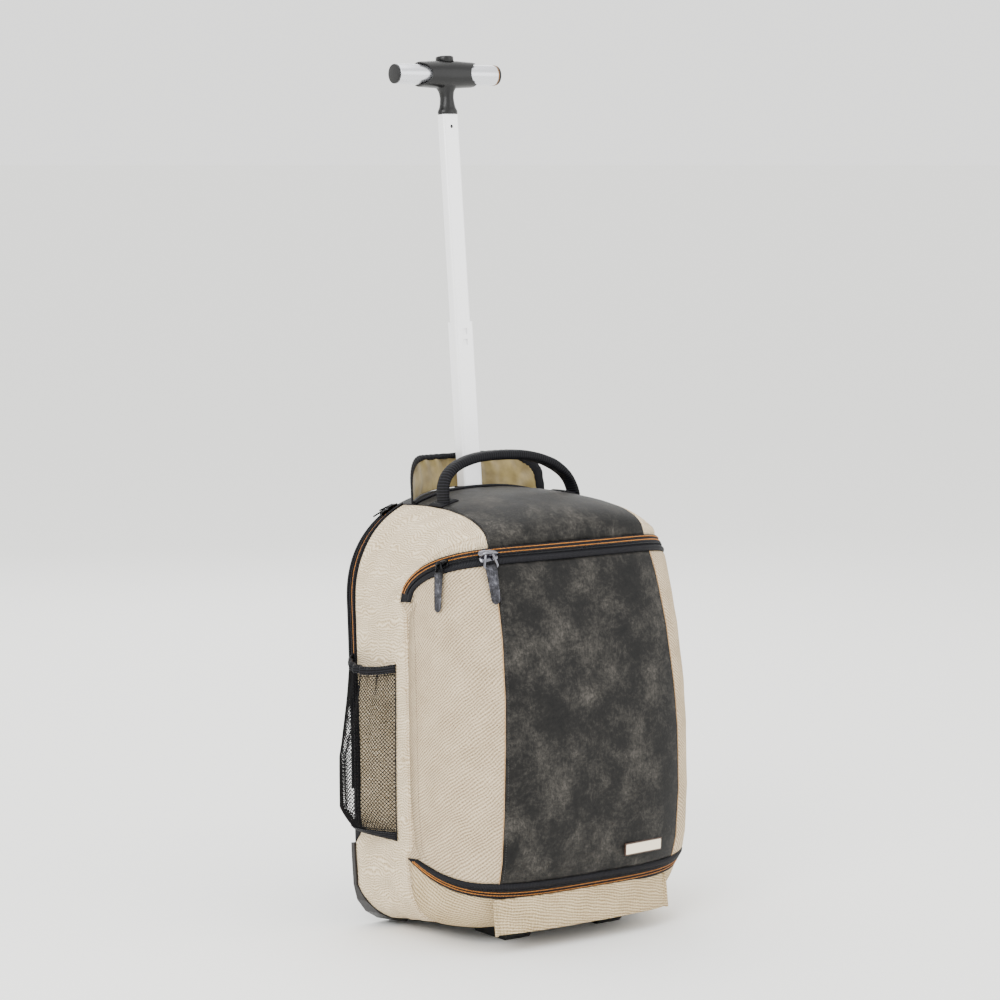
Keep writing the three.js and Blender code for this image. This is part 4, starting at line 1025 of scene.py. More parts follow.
class Repeater:
    """Geometry Nodes trees for what repeats along a path: stitches, zip teeth and rope turns."""

    @staticmethod
    def carrier(
        name: str, paths: Sequence[np.ndarray], away: Callable[[Point], Point]
    ) -> bpy.types.Object:
        """Make edges along paths, each point keeping its outward direction.

        Args:
            name: The object's name.
            paths: Point lists in the leaning frame, millimetres.
            away: Gives the outward direction at a point.

        Returns:
            An object of loose edges with a point attribute named away.
        """
        points, edges, ways = [], [], []
        for path in paths:
            start = len(points)
            points.extend(FORM.place(np.asarray(path, float)))
            edges.extend((start + k, start + k + 1) for k in range(len(path) - 1))
            zero = FORM.place(np.zeros(3))
            ways.extend(FORM.place(np.asarray(away(p), float)) - zero for p in path)
        data = bpy.data.meshes.new(name)
        data.from_pydata([tuple(p) for p in points], edges, [])
        layer = data.attributes.new("away", "FLOAT_VECTOR", "POINT")
        layer.data.foreach_set("vector", (np.array(ways) / MM).astype(np.float32).ravel())
        made = bpy.data.objects.new(name, data)
        bpy.context.scene.collection.objects.link(made)
        return made

    @staticmethod
    def tree() -> bpy.types.NodeTree:
        """Return the tree that sets a rounded bead along each edge path, made on first use."""
        name = "beads_along_path"
        tree = bpy.data.node_groups.get(name)
        if tree is not None:
            return tree
        tree = bpy.data.node_groups.new(name, "GeometryNodeTree")
        face = tree.interface
        face.new_socket("Geometry", in_out="INPUT", socket_type="NodeSocketGeometry")
        for label, kind in (
            ("Pitch", "NodeSocketFloat"),
            ("Bead size", "NodeSocketVector"),
            ("Turn", "NodeSocketFloat"),
            ("Material", "NodeSocketMaterial"),
        ):
            face.new_socket(label, in_out="INPUT", socket_type=kind)
        face.new_socket("Geometry", in_out="OUTPUT", socket_type="NodeSocketGeometry")
        given = add_node(tree, "NodeGroupInput").outputs
        curve = add_node(tree, "GeometryNodeMeshToCurve", {"Mesh": given["Geometry"]})
        spacing = {"Curve": curve.outputs["Curve"], "Length": given["Pitch"]}
        even = add_node(tree, "GeometryNodeResampleCurve", spacing, mode="LENGTH")
        named = "GeometryNodeInputNamedAttribute"
        away = add_node(tree, named, {"Name": "away"}, data_type="FLOAT_VECTOR")
        tangent = add_node(tree, "GeometryNodeInputTangent")
        align = "FunctionNodeAlignRotationToVector"
        aim = add_node(tree, align, {"Vector": tangent.outputs["Tangent"]}, axis="X")
        upward = {"Rotation": aim.outputs["Rotation"], "Vector": away.outputs["Attribute"]}
        stand = add_node(tree, align, upward, axis="Z", pivot_axis="X")
        slant = add_node(tree, "ShaderNodeCombineXYZ", {"Z": given["Turn"]})
        turning = {"Rotation": stand.outputs["Rotation"], "Rotate By": slant.outputs["Vector"]}
        spun = add_node(tree, "FunctionNodeRotateRotation", turning, rotation_space="LOCAL")
        ball = {"Segments": 6, "Rings": 4, "Radius": 0.5}
        bead = add_node(tree, "GeometryNodeMeshUVSphere", ball).outputs["Mesh"]
        smooth_bead = add_node(tree, "GeometryNodeSetShadeSmooth", {"Geometry": bead})
        many = add_node(
            tree,
            "GeometryNodeInstanceOnPoints",
            {
                "Points": even.outputs["Curve"],
                "Instance": smooth_bead.outputs["Geometry"],
                "Rotation": spun.outputs["Rotation"],
                "Scale": given["Bead size"],
            },
        ).outputs["Instances"]
        real = add_node(tree, "GeometryNodeRealizeInstances", {"Geometry": many})
        dress = {"Geometry": real.outputs["Geometry"], "Material": given["Material"]}
        dressed = add_node(tree, "GeometryNodeSetMaterial", dress)
        add_node(tree, "NodeGroupOutput", {"Geometry": dressed.outputs["Geometry"]})
        return tree

    @classmethod
    def beads(
        cls,
        name: str,
        paths: Sequence[np.ndarray],
        pitch: float,
        size: tuple[float, float, float],
        finish: Palette,
        slot: str,
        away: Callable[[Point], Point] = lambda p: -FORM.inward(p),
        turn: float = 0.0,
    ) -> bpy.types.Object:
        """slot: Not used; it is passed on to finish_piece, which does not read it.

        Args:
            name: The piece's name.
            paths: Point lists in the leaning frame, millimetres.
            pitch: Spacing in millimetres.
            size: A bead's length, width and height in millimetres.
            finish: What the beads are made of.
            slot: The record's slot the finish belongs to.
            away: Gives the outward direction at a point.
            turn: Slant of each bead on the surface, in degrees.

        Returns:
            The piece of all beads, riding on the bag.
        """
        carrier = cls.carrier(name + "_path", paths, away)
        tree = cls.tree()
        modifier = carrier.modifiers.new("beads", "NODES")
        modifier.node_group = tree
        values = {
            "Pitch": pitch * MM,
            "Bead size": tuple(s * MM for s in size),
            "Turn": math.radians(turn),
            "Material": finish.material,
        }
        for socket in tree.interface.items_tree:
            if socket.in_out == "INPUT" and socket.name in values:
                modifier[socket.identifier] = values[socket.name]
        bpy.context.view_layer.update()
        graph = bpy.context.evaluated_depsgraph_get()
        data = bpy.data.meshes.new_from_object(carrier.evaluated_get(graph))
        data.name = name
        carrier.modifiers.remove(modifier)
        bpy.data.objects.remove(carrier)
        made = bpy.data.objects.new(name, data)
        bpy.context.scene.collection.objects.link(made)
        return finish_piece(made, finish, BAG, slot)


# ---- The shell ----


def resampled(path: np.ndarray, step: float) -> np.ndarray:
    """Return a path with points an even step apart, in millimetres."""
    length = lengths_along(path)
    count = max(2, int(round(length[-1] / step)) + 1)
    at = np.linspace(0, length[-1], count)
    return np.stack([np.interp(at, length, path[:, k]) for k in range(3)], axis=-1)


def mirrored(points: np.ndarray) -> np.ndarray:
    """Return points with left and right changed over."""
    return points * np.array([-1.0, 1.0, 1.0])


def drape(points: np.ndarray, depth: Callable[[Point], float]) -> np.ndarray:
    """Push grid points in or out along the shell, by a depth in millimetres at each."""
    return np.array([[p - FORM.inward(p) * depth(p) for p in row] for row in points])


def rolled(points: np.ndarray, tuck: float, width: float, edges: str = "nsew") -> np.ndarray:
    """Tuck a panel's sewn edges in, so that each seam is a soft valley.

    Args:
        points: Grid of skin points.
        tuck: How deep the edge sinks.
        width: How far from the edge the cloth starts to turn.
        edges: Which edges turn: n last row, s first row, e last column, w first column.

    Returns:
        The grid with its edges tucked.
    """
    across = np.linalg.norm(np.diff(points, axis=1), axis=2)
    along = np.linalg.norm(np.diff(points, axis=0), axis=2)
    u = np.concatenate([np.zeros((len(points), 1)), np.cumsum(across, axis=1)], axis=1)
    v = np.concatenate([np.zeros((1, points.shape[1])), np.cumsum(along, axis=0)], axis=0)
    reach = np.full(points.shape[:2], 1e9)
    for edge, far in (("w", u), ("e", u[:, [-1]] - u), ("s", v), ("n", v[[-1]] - v)):
        if edge in edges:
            reach = np.minimum(reach, far)
    sink = tuck * np.clip(1 - reach / width, 0, 1) ** 2.2
    out = points.copy()
    for i in range(points.shape[0]):
        for j in range(points.shape[1]):
            if sink[i, j] > 0:
                out[i, j] = points[i, j] + FORM.inward(points[i, j]) * sink[i, j]
    return out


def crinkle(p: Point, size: float, seed: float) -> float:
    """Return soft noise from -1 to 1 at a point, with waves of a size in millimetres."""
    return noise.noise(Vector((p[0] / size + seed, p[1] / size, p[2] / size)))


@dataclass
class SoftShell:
    """The sewn panels: canvas sides and front sides, leather centre and crown, lower panel."""

    canvas_wall: float = 1.8
    leather_wall: float = 2.0
    hem: float = 13.0
    overlap: float = 34.0
    grids: dict[str, np.ndarray] = field(default_factory=dict)

    def side_fold(self, p: Point) -> float:
        """Return the depth of the side panel's wrinkles at a point, on either side."""
        u, v = p[1], p[2]
        soft = 0.9 * crinkle(p, 60, 3.1) + 0.35 * crinkle(p, 22, 8.2)
        low = smooth(200 - v, 0, 120)
        fold = 2.2 * low * bell(u - 18 - 0.12 * (120 - v), 0, 9)
        fold += 1.6 * low * bell(u + 4 - 0.1 * (120 - v), 0, 6)
        return soft - fold * smooth(150 - v, 0, 60)

    def front_fold(self, p: Point) -> float:
        """Return the depth of the front pocket's wrinkles at a point."""
        edge = smooth(abs(p[0]), 120, 175)
        return 0.7 * crinkle(p, 75, 1.7) + (0.5 + 0.7 * edge) * 0.6 * crinkle(p, 28, 5.9)

    def build_sides(self) -> None:
        """Build the canvas sides, from the underside over the shoulder to the crown's leather."""
        form = FORM

        def at(rise: float, back: float) -> Point:
            """Return a point of the side panel."""
            row = form.side_row(2 * rise)
            height = row(1)[2]
            width = form.strip_width(height) if height > 105 else form.gap
            return row(back * form.back_share(row, width + 0.2))

        points = Mould.grid(150, 44, at)
        for name, grid in (("right", points), ("left", mirrored(points))):
            grid = rolled(drape(grid, self.side_fold), 1.3, 5)
            self.grids["side_" + name] = grid
            piece = Mould.wall(f"side_canvas_{name}", grid, self.canvas_wall, lift=0.2)
            # the side panels wear the paler canvas copy, painted light for their lit faces
            finish_piece(piece, Palette.LIT_SHOULDER, BAG, "canvas", [f"side_panel_{name}"])
            seam = resampled(grid[:, 1], 3.2)[2:-2]
            self.stitch(f"seam_stitches_{name}", seam, Palette.TAN)

    def build_front(self) -> None:
        """Build the pocket's leather face and its canvas sides."""
        form = FORM

        def middle(rise: float, across: float) -> Point:
            """Return a point of the leather face."""
            k = 2 * across - 1
            return form.pocket_point(k * form.low_leather_share, k * form.top_leather_share, rise)

        grid = rolled(drape(Mould.grid(110, 80, middle), self.front_fold), 1.6, 4)
        self.grids["front"] = grid
        piece = Mould.wall("front_leather", grid, self.leather_wall, lift=0.5)
        finish_piece(piece, Palette.LEATHER, BAG, "leather", ["front_panel"])

        def flank(rise: float, across: float) -> Point:
            """Return a point of the canvas beside the leather."""
            shares = (form.low_leather_share, form.top_leather_share)
            p = form.pocket_point(*(spaced(share, across) for share in shares), rise)
            if form.bottom_zip_end < p[2] < form.top_zip_end:
                p[1] -= form.seam_offset(p[2]) * across**24
            return p

        points = Mould.grid(110, 46, flank)
        for name, grid in (("right", points), ("left", mirrored(points))):
            grid = rolled(drape(grid, self.front_fold), 1.5, 4)
            self.grids["flank_" + name] = grid
            piece = Mould.wall(f"front_canvas_{name}", grid, self.canvas_wall, lift=0.3)
            finish_piece(piece, Palette.CANVAS, BAG, "canvas", [f"front_side_{name}"])

    def build_crown(self) -> None:
        """Build the leather over the crown, up to the black band."""
        form = FORM
        band = form.back_plane - form.band_front

        def at(back: float, across: float) -> Point:
            """Return a point of the crown leather."""
            k = 2 * across - 1

            def row(t: float) -> Point:
                """Return a point of one row from front to back."""
                return form.leather_row(abs(k), t)

            p = row(back * form.back_share(row, band + 0.3))
            p[0] *= 1 if k >= 0 else -1
            return p

        grid = Mould.grid(50, 80, at)
        grid = drape(grid, lambda p: 0.8 * crinkle(p, 55, 4.4) + 0.3 * crinkle(p, 20, 9.4))
        grid = rolled(grid, 1.4, 4)
        self.grids["crown"] = grid
        piece = Mould.wall("crown_leather", grid, self.leather_wall, lift=0.4)
        finish_piece(piece, Palette.LEATHER, BAG, "leather", ["top_panel"])

    def build_lower(self) -> None:
        """Build the panel under the bottom zip, down to the underside."""
        form = FORM

        def at(drop: float, across: float) -> Point:
            """Return a point of the lower panel, from the zip down."""
            k = 2 * across - 1
            share = math.copysign(math.sin(abs(k) * math.pi / 2), k)
            top = form.bottom_zip_edge(share, -1)
            skin = form.front_skin(share, top[2])
            p = form.front_skin(share, lerp(top[2], form.underside, drop))
            return p + (top - skin) * (1 - drop)

        grid = Mould.grid(26, 170, at)
        grid = rolled(drape(grid, lambda p: 0.9 * crinkle(p, 30, 2.2)), 1.2, 4, "snew")
        self.grids["lower"] = grid
        piece = Mould.wall("lower_canvas", grid, self.canvas_wall, lift=0.2)
        finish_piece(piece, Palette.SKIRT, BAG, "canvas", ["lower_panel"])

    def build_seams(self) -> None:
        """Build the cloth under the side seams and the edges beside the leather."""
        for name, sign in SIDES:
            flank = self.grids["flank_" + name]

            def at(rise: float, across: float, sign: int = sign) -> Point:
                """Return a point of the hidden strip that backs the seam."""
                low, high = FORM.bottom_zip_end - self.overlap, FORM.top_zip_end + self.overlap
                height = lerp(low, high, rise)
                _, seam, _, _, _ = FORM.section(height)
                front = FORM.front_skin(1 - 0.1 * (1 - across), height)
                back = FORM.side_skin(0.12 * across, height)
                p = lerp(front, back, across)
                p[0] = min(p[0], seam + 3)
                p = p + FORM.inward(p) * 2.3
                return p * np.array([sign, 1, 1])

            piece = Mould.wall(f"seam_backing_{name}", Mould.grid(60, 8, at), 1.0)
            finish_piece(piece, Palette.CANVAS, BAG, "canvas")
            edge = flank[:, 0] + (flank[:, 1] - flank[:, 0]) * 0.35
            rod = Mould.tube(f"leather_edge_{name}", resampled(FORM.raised(edge, 0.5), 4), 0.75)
            finish_piece(rod, Palette.TAN, BAG, "canvas")
            column = -2 if sign > 0 else 1
            leather = resampled(self.grids["front"][:, column], 3.0)[2:-2]
            self.stitch(f"leather_stitches_{name}", leather, Palette.BLACK_THREAD)
            lengths = np.linalg.norm(np.diff(flank, axis=1), axis=2)[:, ::-1].cumsum(axis=1)
            inset = [row[-2 - int((far < self.hem).sum())] for row, far in zip(flank, lengths)]
            inset = resampled(np.array(inset), 3.0)[4:-4]
            self.stitch(f"pocket_stitches_{name}", inset, Palette.BROWN_THREAD)
            crown = resampled(self.grids["crown"][:, column], 3.0)[2:-2]
            self.stitch(f"crown_stitches_{name}", crown, Palette.BLACK_THREAD)

    def stitch(self, name: str, path: np.ndarray, finish: Palette) -> None:
        """Sew a dotted line of stitches along a path that lies on the skin."""
        Repeater.beads(name, [FORM.raised(path, 0.6)], 3.0, (2.0, 0.7, 0.6), finish, "canvas")

    def build(self) -> None:
        """Build every panel."""
        self.build_sides()
        self.build_front()
        self.build_crown()
        self.build_lower()
        self.build_seams()


# ---- Zips ----


class Sign(Enum):
    """Which side of a zip strip carries the orange ropes."""

    UPPER = 1
    LOWER = -1


@dataclass
class FrontZip:
    """A front zip: woven tape, a rolled welt, the coil, and two orange ropes.

    The ropes' and the coil's places are shares of the half-width, towards the ropes.
    """

    name: str
    edge: Callable[[float, float], Point]
    ropes: Sign
    rope_size: tuple[float, float, float] = (2.1, 0.8, 1.0)
    rope_pitch: float = 1.7
    rope_places: tuple[float, float] = (0.33, 0.74)
    coil_place: float = 0.04

    def section_point(self, share: float, across: float, lift: float = 0.0) -> Point:
        """Return a point on the zip: across is 1 on the upper edge and -1 on the lower one."""
        a, b = self.edge(share, 1), self.edge(share, -1)
        p = lerp(b, a, (across + 1) / 2)
        return p - FORM.inward(p) * lift

    def shares(self, count: int, reach: float = 0.99999) -> list[float]:
        """Return shares along the zip, close together round its ends."""
        spread = [2 * k / count - 1 for k in range(count + 1)]
        return [reach * math.copysign(math.sin(abs(k) * math.pi / 2), k) for k in spread]

    def line(self, across: float, lift: float) -> np.ndarray:
        """Return a line along the zip at a place across it."""
        points = [self.section_point(s, across, lift) for s in self.shares(260)]
        return resampled(np.array(points), 1.5)

    def build_tape(self) -> bpy.types.Object:
        """Build the tape with its welt: one strip with a rolled ridge along the plain side."""
        shares = self.shares(220, 1.0)
        plain = -self.ropes.value

        def height(across: float) -> float:
            """Return the strip's height across its width."""
            side = across * plain
            ridge = 2.0 * bell(side, 0.62, 0.26)
            lip = 0.9 * bell(side, -0.86, 0.12)
            groove = -0.7 * bell(side, 0.22, 0.1)
            return ridge + lip + groove

        steps = [2 * k / 18 - 1 for k in range(19)]
        grid = np.array([[self.section_point(s, a, height(a)) for a in steps] for s in shares])
        grid = rolled(grid, 1.0, 1.6, "ew")
        piece = Mould.wall(self.name + "_tape", grid, 1.6, lift=0.2)
        return finish_piece(piece, Palette.TAPE, BAG, "zip_tape", [self.name])

    def build_coil(self) -> None:
        """Build the coil as two rows of small teeth that meet in a line."""
        toward = self.ropes.value
        for side in (-1, 1):
            path = self.line(self.coil_place * toward + side * 0.11, 0.9)
            name = f"{self.name}_coil_{'upper' if side > 0 else 'lower'}"
            size = (0.95, 2.9, 1.7)
            Repeater.beads(name, [path], 1.5, size, Palette.COIL, "zip_tape", turn=side * 14.0)

    def build_ropes(self) -> None:
        """Build the two orange ropes beside the coil, as slanted turns of thread."""
        toward = self.ropes.value
        for number, across in enumerate(self.rope_places, 1):
            Repeater.beads(
                f"{self.name}_rope_{number}",
                [self.line(toward * across, 0.9)],
                self.rope_pitch,
                self.rope_size,
                Palette.ORANGE,
                "zip_tape",
                turn=38.0 * toward,
            )

    def build(self) -> None:
        """Build the whole zip."""
        self.build_tape()
        self.build_coil()
        self.build_ropes()


@dataclass
class MainZip:
    """The zip round the back edge: a black strip each side, a piped edge and one orange line."""

    # how far up the side row the strip starts, as a share
    start: float = 0.125

    def build(self) -> None:
        """Build the strips, their pipings and orange lines."""
        form = FORM
        for name, sign in SIDES:

            def at(rise: float, across: float, sign: int = sign) -> Point:
                """Return a point of the strip, from the guard up over the shoulder."""
                row = form.side_row(lerp(2 * self.start, 2, rise))
                p = row(lerp(form.back_share(row, form.strip_width(row(1)[2])), 1, across))
                return p * np.array([sign, 1, 1])

            grid = Mould.grid(120, 8, at)
            piece = Mould.wall(f"main_zip_tape_{name}", rolled(grid, 1.0, 3), 1.6, lift=0.3)
            finish_piece(piece, Palette.TAPE, BAG, "zip_tape", [f"main_zip_{name}"])
            for label, across, radius in (("piping", 0.06, 1.5), ("edge_piping", 0.95, 1.7)):
                path = self.line(grid, across, 1.0, 12, 121)
                rod = Mould.tube(f"main_zip_{label}_{name}", resampled(path, 5), radius)
                finish_piece(rod, Palette.PIPING, BAG, "zip_tape")
            for label, across, pitch, size, finish, turn in (
                ("rope", 0.3, 1.7, (2.2, 1.2, 1.0), Palette.ORANGE, 38),
                ("coil", 0.56, 1.6, (1.0, 5.0, 1.7), Palette.COIL, 0),
            ):
                path = resampled(self.line(grid, across, 0.8, 14, 119), 1.5)
                label = f"main_zip_{label}_{name}"
                Repeater.beads(label, [path], pitch, size, finish, "zip_tape", turn=turn)

    @staticmethod
    def line(grid: np.ndarray, across: float, lift: float, first: int, last: int) -> np.ndarray:
        """Return a line along the strip's rows at a place across it, lifted off it."""
        rows = grid[first:last]
        return FORM.raised(lerp(rows[:, 0], rows[:, -1], across), lift)


# ---- Side pockets ----


@dataclass
class NetPocket:
    """A side pocket: a slack net gathered under an elastic band, with a folded hem below."""

    side: str
    front: float = -16
    back: float = 75
    bottom: float = 118
    top: float = 326
    rise: float = 10
    bulge: float = 40
    slant: float = 12
    sag: float = 7
    trim: float = 9
    cell: float = 3.9
    cord: float = 0.6
    # place across, depth in mm and width of each gather in the net
    gathers: tuple[tuple[float, ...], ...] = ((0.3, 7.0, 0.06), (0.58, 4.5, 0.05), (0.8, 3.0, 0.04))

    @property
    def sign(self) -> int:
        """1 for the right pocket and -1 for the left one."""
        return 1 if self.side == "right" else -1

    def point(self, across: float, up: float, lift: float = 0.0) -> Point:
        """Return a point of the pocket: across runs back from its front edge, up from its foot."""
        height = self.rise * across + lerp(self.bottom, self.top, up)
        height -= self.sag * math.sin(math.pi * across) * smooth(up, 0.3, 1)
        depth = lerp(self.front + self.slant * (1 - up), self.back, across)
        _, _, seam_depth, _, _ = FORM.section(height)
        p = FORM.side_skin((depth - seam_depth) / (FORM.back_plane - seam_depth), height)
        belly = math.sin(math.pi * clamp(across) ** 1.45) ** 0.65
        fullness = lerp(0.12, 1, min(1, up / 0.16) ** 0.55)
        fullness *= lerp(1, 0.42, clamp((up - 0.45) / 0.55))
        gather = 0.0
        for centre, pull, width in self.gathers:
            wander = 0.03 * math.sin(7 * up + 9 * centre)
            gather += pull * bell(across - centre - wander, 0, width)
        gather *= 0.35 + 0.65 * smooth(up, 0.3, 0.95)
        puckers = 1.3 * math.sin(across * 46 + 2 * math.sin(up * 5)) * smooth(up, 0.72, 0.97)
        out = FORM.gap + 1.2 + lift + (self.bulge - gather) * belly * fullness + puckers * belly
        x = max(p[0] + out, p[0] + 1.4 + lift)
        return np.array([self.sign * x, depth, height])

    def build_net(self) -> None:
        """Build the net as thin cords on the slant, by a wireframe over a diamond grid."""
        share = self.trim / (self.top - self.bottom)
        width = self.back - self.front
        columns = int(round(width * 1.25 / self.cell))
        rows = int(round((self.top - self.bottom) / self.cell * 1.55))
        points, faces = [], []
        number = {}

        def corner(i: int, j: int) -> int:
            """Return the number of the net's knot at half-column i and row j."""
            if (i, j) not in number:
                up = lerp(share, 1 - share, j / rows)
                number[i, j] = len(points)
                points.append(self.point(clamp(i / (2 * columns)), up))
            return number[i, j]

        for j in range(1, rows):
            for i in range(1, 2 * columns):
                if (i + j) % 2:
                    around = ((i - 1, j), (i, j - 1), (i + 1, j), (i, j + 1))
                    faces.append(tuple(corner(*knot) for knot in around))
        for j in (0, rows):
            inner = 1 if j == 0 else rows - 1
            for i in range(2 * columns + 1):
                if (i + j) % 2 == 0 and 0 < i < 2 * columns:
                    faces.append((corner(i - 1, inner), corner(i, j), corner(i + 1, inner)))
        places = FORM.place(np.array(points))
        piece = Mould.mesh(f"pocket_net_{self.side}", places, faces, flat=True)
        wire = piece.modifiers.new("cords", "WIREFRAME")
        wire.thickness = 2 * self.cord * MM
        wire.offset = 0.0
        wire.use_even_offset = False
        wire.use_boundary = True
        wire.use_replace = True
        Mould.lay_uv(evaluated(piece))
        finish_piece(piece, Palette.NET, BAG, "net", [f"mesh_pocket_{self.side}"])

    def build_trims(self) -> None:
        """Build the elastic band at the mouth, the hem below and the bound edges."""
        share = self.trim / (self.top - self.bottom)
        for name, low, high, thick in (
            ("band", 1 - share * 1.1, 1, 2.6),
            ("hem", -0.1 * share, share * 1.05, 1.8),
        ):

            def at(rise: float, across: float, low: float = low, high: float = high) -> Point:
                """Return a point of the strip, a little proud of the net."""
                swell = 1.6 * math.sin(math.pi * rise) ** 0.5
                return self.point(across, lerp(low, high, rise), 1.0 + swell)

            grid = Mould.grid(8, 60, at)
            away = np.array([-self.sign, 0.0, 0.0])
            label = f"pocket_{name}_strip_{self.side}"
            piece = Mould.wall(label, grid, thick, direction=lambda p: away)
            node = f"pocket_{name}_{self.side}"
            finish_piece(piece, Palette.WEBBING, BAG, "webbing", [node])
            for label, rise in (("low", 0.14), ("high", 0.86)):
                line = np.array([at(rise, c / 60) for c in range(1, 60)])
                line[:, 0] += self.sign * 0.35
                Repeater.beads(
                    f"pocket_{name}_stitches_{label}_{self.side}",
                    [line],
                    3.2,
                    STITCH,
                    Palette.BLACK_THREAD,
                    "webbing",
                    away=lambda p: -away,
                )
        for label, across, radius in (("front", 0.0, 0.6), ("back", 1.0, 1.0)):
            line = np.array([self.point(across, k / 60) for k in range(61)])
            line[:, 0] += self.sign * 0.6
            rod = Mould.tube(f"pocket_edge_{label}_{self.side}", line, radius)
            finish_piece(rod, Palette.PIPING, BAG, "webbing")

    def build(self) -> None:
        """Build the pocket."""
        self.build_net()
        self.build_trims()


# ---- Handles and flap ----


@dataclass
class TopHandles:
    """The webbing carry handle, its tabs, the black band and the lined flap behind the pole."""

    handle_depth: float = -15
    half_span: float = 100
    rise: float = 51
    width: float = 20
    thickness: float = 12
    # power of the handle's section: 1 is an oval, less is squarer
    squareness: float = 0.72
    flap_half_width: float = 100
    flap_height: float = 51
    flap_corner: float = 38
    flap_curl: float = 38
    binding: float = 7

    def build_band(self) -> None:
        """Build the black band behind the crown leather, with the mouth the pole runs in."""
        form = FORM
        band = form.back_plane - form.band_front

        def at(back: float, across: float) -> Point:
            """Return a point of the band."""
            k = 2 * across - 1

            def row(t: float) -> Point:
                """Return a point of one row from front to back."""
                return form.leather_row(abs(k), t)

            p = row(lerp(form.back_share(row, band - 0.3), 1, back))
            p[0] *= 1 if k >= 0 else -1
            hole = max(abs(p[0]) - 17, abs(p[1] - form.pole_depth) - 13)
            p[2] -= 0.8 * smooth(-hole, -3, 0)
            return p

        grid = Mould.grid(42, 90, at)
        piece = Mould.wall("crown_band", rolled(grid, 1.0, 3, "sew"), 1.6, lift=0.2)
        keep = piece.data
        hole = [
            f.index
            for f in keep.polygons
            if abs(f.center.x) < 0.0166 and abs(self.depth_of(f.center) - form.pole_depth) < 12.0
        ]
        self.open_faces(piece, hole)
        finish_piece(piece, Palette.TAPE, BAG, "webbing", ["top_band"])
        line = form.raised(grid[0, 1:90], 1.3)
        rod = Mould.tube("crown_piping", resampled(line, 4), 2.1, 10)
        finish_piece(rod, Palette.PIPING, BAG, "webbing")

    @staticmethod
    def depth_of(p: Vector) -> float:
        """Return a world point's depth in the leaning frame, in millimetres."""
        lean = math.radians(FORM.lean_degrees)
        return (p.y / MM - FORM.shift()) * math.cos(lean) - p.z / MM * math.sin(lean)

    @staticmethod
    def open_faces(piece: bpy.types.Object, gone: Sequence[int]) -> None:
        """Remove faces from both skins of a wall and close the cut with a rim."""
        mesh = bmesh.new()
        mesh.from_mesh(piece.data)
        mesh.faces.ensure_lookup_table()
        bmesh.ops.delete(mesh, geom=[mesh.faces[k] for k in gone], context="FACES")
        open_edges = [e for e in mesh.edges if e.is_boundary]
        bmesh.ops.bridge_loops(mesh, edges=open_edges)
        mesh.to_mesh(piece.data)
        mesh.free()

    def arc(self, t: float) -> Point:
        """Return a point of the carry handle's middle line, from the left tab to the right."""
        angle = math.pi * (0.015 + 0.97 * t)
        x = -math.copysign(self.half_span * abs(math.cos(angle)) ** 0.82, math.cos(angle))
        base = FORM.crown_skin(0.62, 0.59, 0.57)[2] + 2.8
        rise = self.thickness / 2 + self.rise * math.sin(angle) ** 0.9
        sway = 3 - 13 * math.sin(math.pi * t)
        sink = 7 * (1 - math.sin(math.pi * t)) ** 6
        return np.array([x * 0.97 + sway, self.handle_depth, base + rise - sink])

    def build_handle(self) -> None:
        """Build the padded webbing handle, folded to a rounded section with a lapped seam."""
        path = np.array([self.arc(k / 150) for k in range(151)])
        steps = np.gradient(path, axis=0)
        ways = steps / np.linalg.norm(steps, axis=1)[:, None]
        length = lengths_along(path)
        depth_way = np.array([0.0, 1.0, 0.0])
        rings, uv = [], []
        for place, way, along in zip(path, ways, length):
            out = unit(np.cross(way, depth_way))
            t = along / length[-1]
            pad = smooth(min(t, 1 - t), 0.04, 0.2)
            thick = lerp(3.6, self.thickness / 2, pad)
            wide = lerp(self.width / 2 + 1.5, self.width / 2, pad)
            ring = []
            for turn in round_turns(28):
                c, s = math.cos(turn), math.sin(turn)
                lap = 0.5 * bell(turn, 1.4, 0.16)
                soft = 0.35 * crinkle(place + np.array([c, s, 0]) * 9, 14, 6.6)
                a = bent(c, self.squareness) * (wide + soft)
                b = bent(s, self.squareness) * (thick + lap + soft)
                ring.append(place + depth_way * a + out * b)
                uv.append((turn * 9, along))
            rings.append(ring)
        piece = Mould.loft("carry_grip", rings, uv)
        finish_piece(piece, Palette.WEBBING, BAG, "webbing", ["carry_handle"])

    def build_tabs(self) -> None:
        """Build the flat tabs that sew the handle's ends to the crown."""
        form = FORM
        for name, sign in SIDES:

            def at(depth: float, across: float, sign: int = sign) -> Point:
                """Return a point of the tab."""
                p = form.leather_row(lerp(0.78, 1.0, across), lerp(0.49, 0.63, depth))
                return p * np.array([sign, 1, 1])

            grid = Mould.grid(14, 16, at)
            piece = Mould.wall(f"handle_patch_{name}", rolled(grid, 1.2, 2.5), 2.2, lift=3.2)
            finish_piece(piece, Palette.WEBBING, BAG, "webbing", [f"handle_tab_{name}"])
            corners_at = ((0.2, 0.15), (0.2, 0.85), (0.8, 0.85), (0.8, 0.15), (0.2, 0.15))
            box = form.raised(resampled(np.array([at(*corner) for corner in corners_at]), 2), 3.4)
            label, size = f"handle_box_stitch_{name}", (1.8, 0.7, 0.6)
            Repeater.beads(label, [box], 2.6, size, Palette.BLACK_THREAD, "webbing")

    def flap_curve(self, x: float) -> float:
        """Return the flap's depth at a place across it: its ends curl forward."""
        return FORM.back_plane - 3 - self.flap_curl * abs(x / self.flap_half_width) ** 3

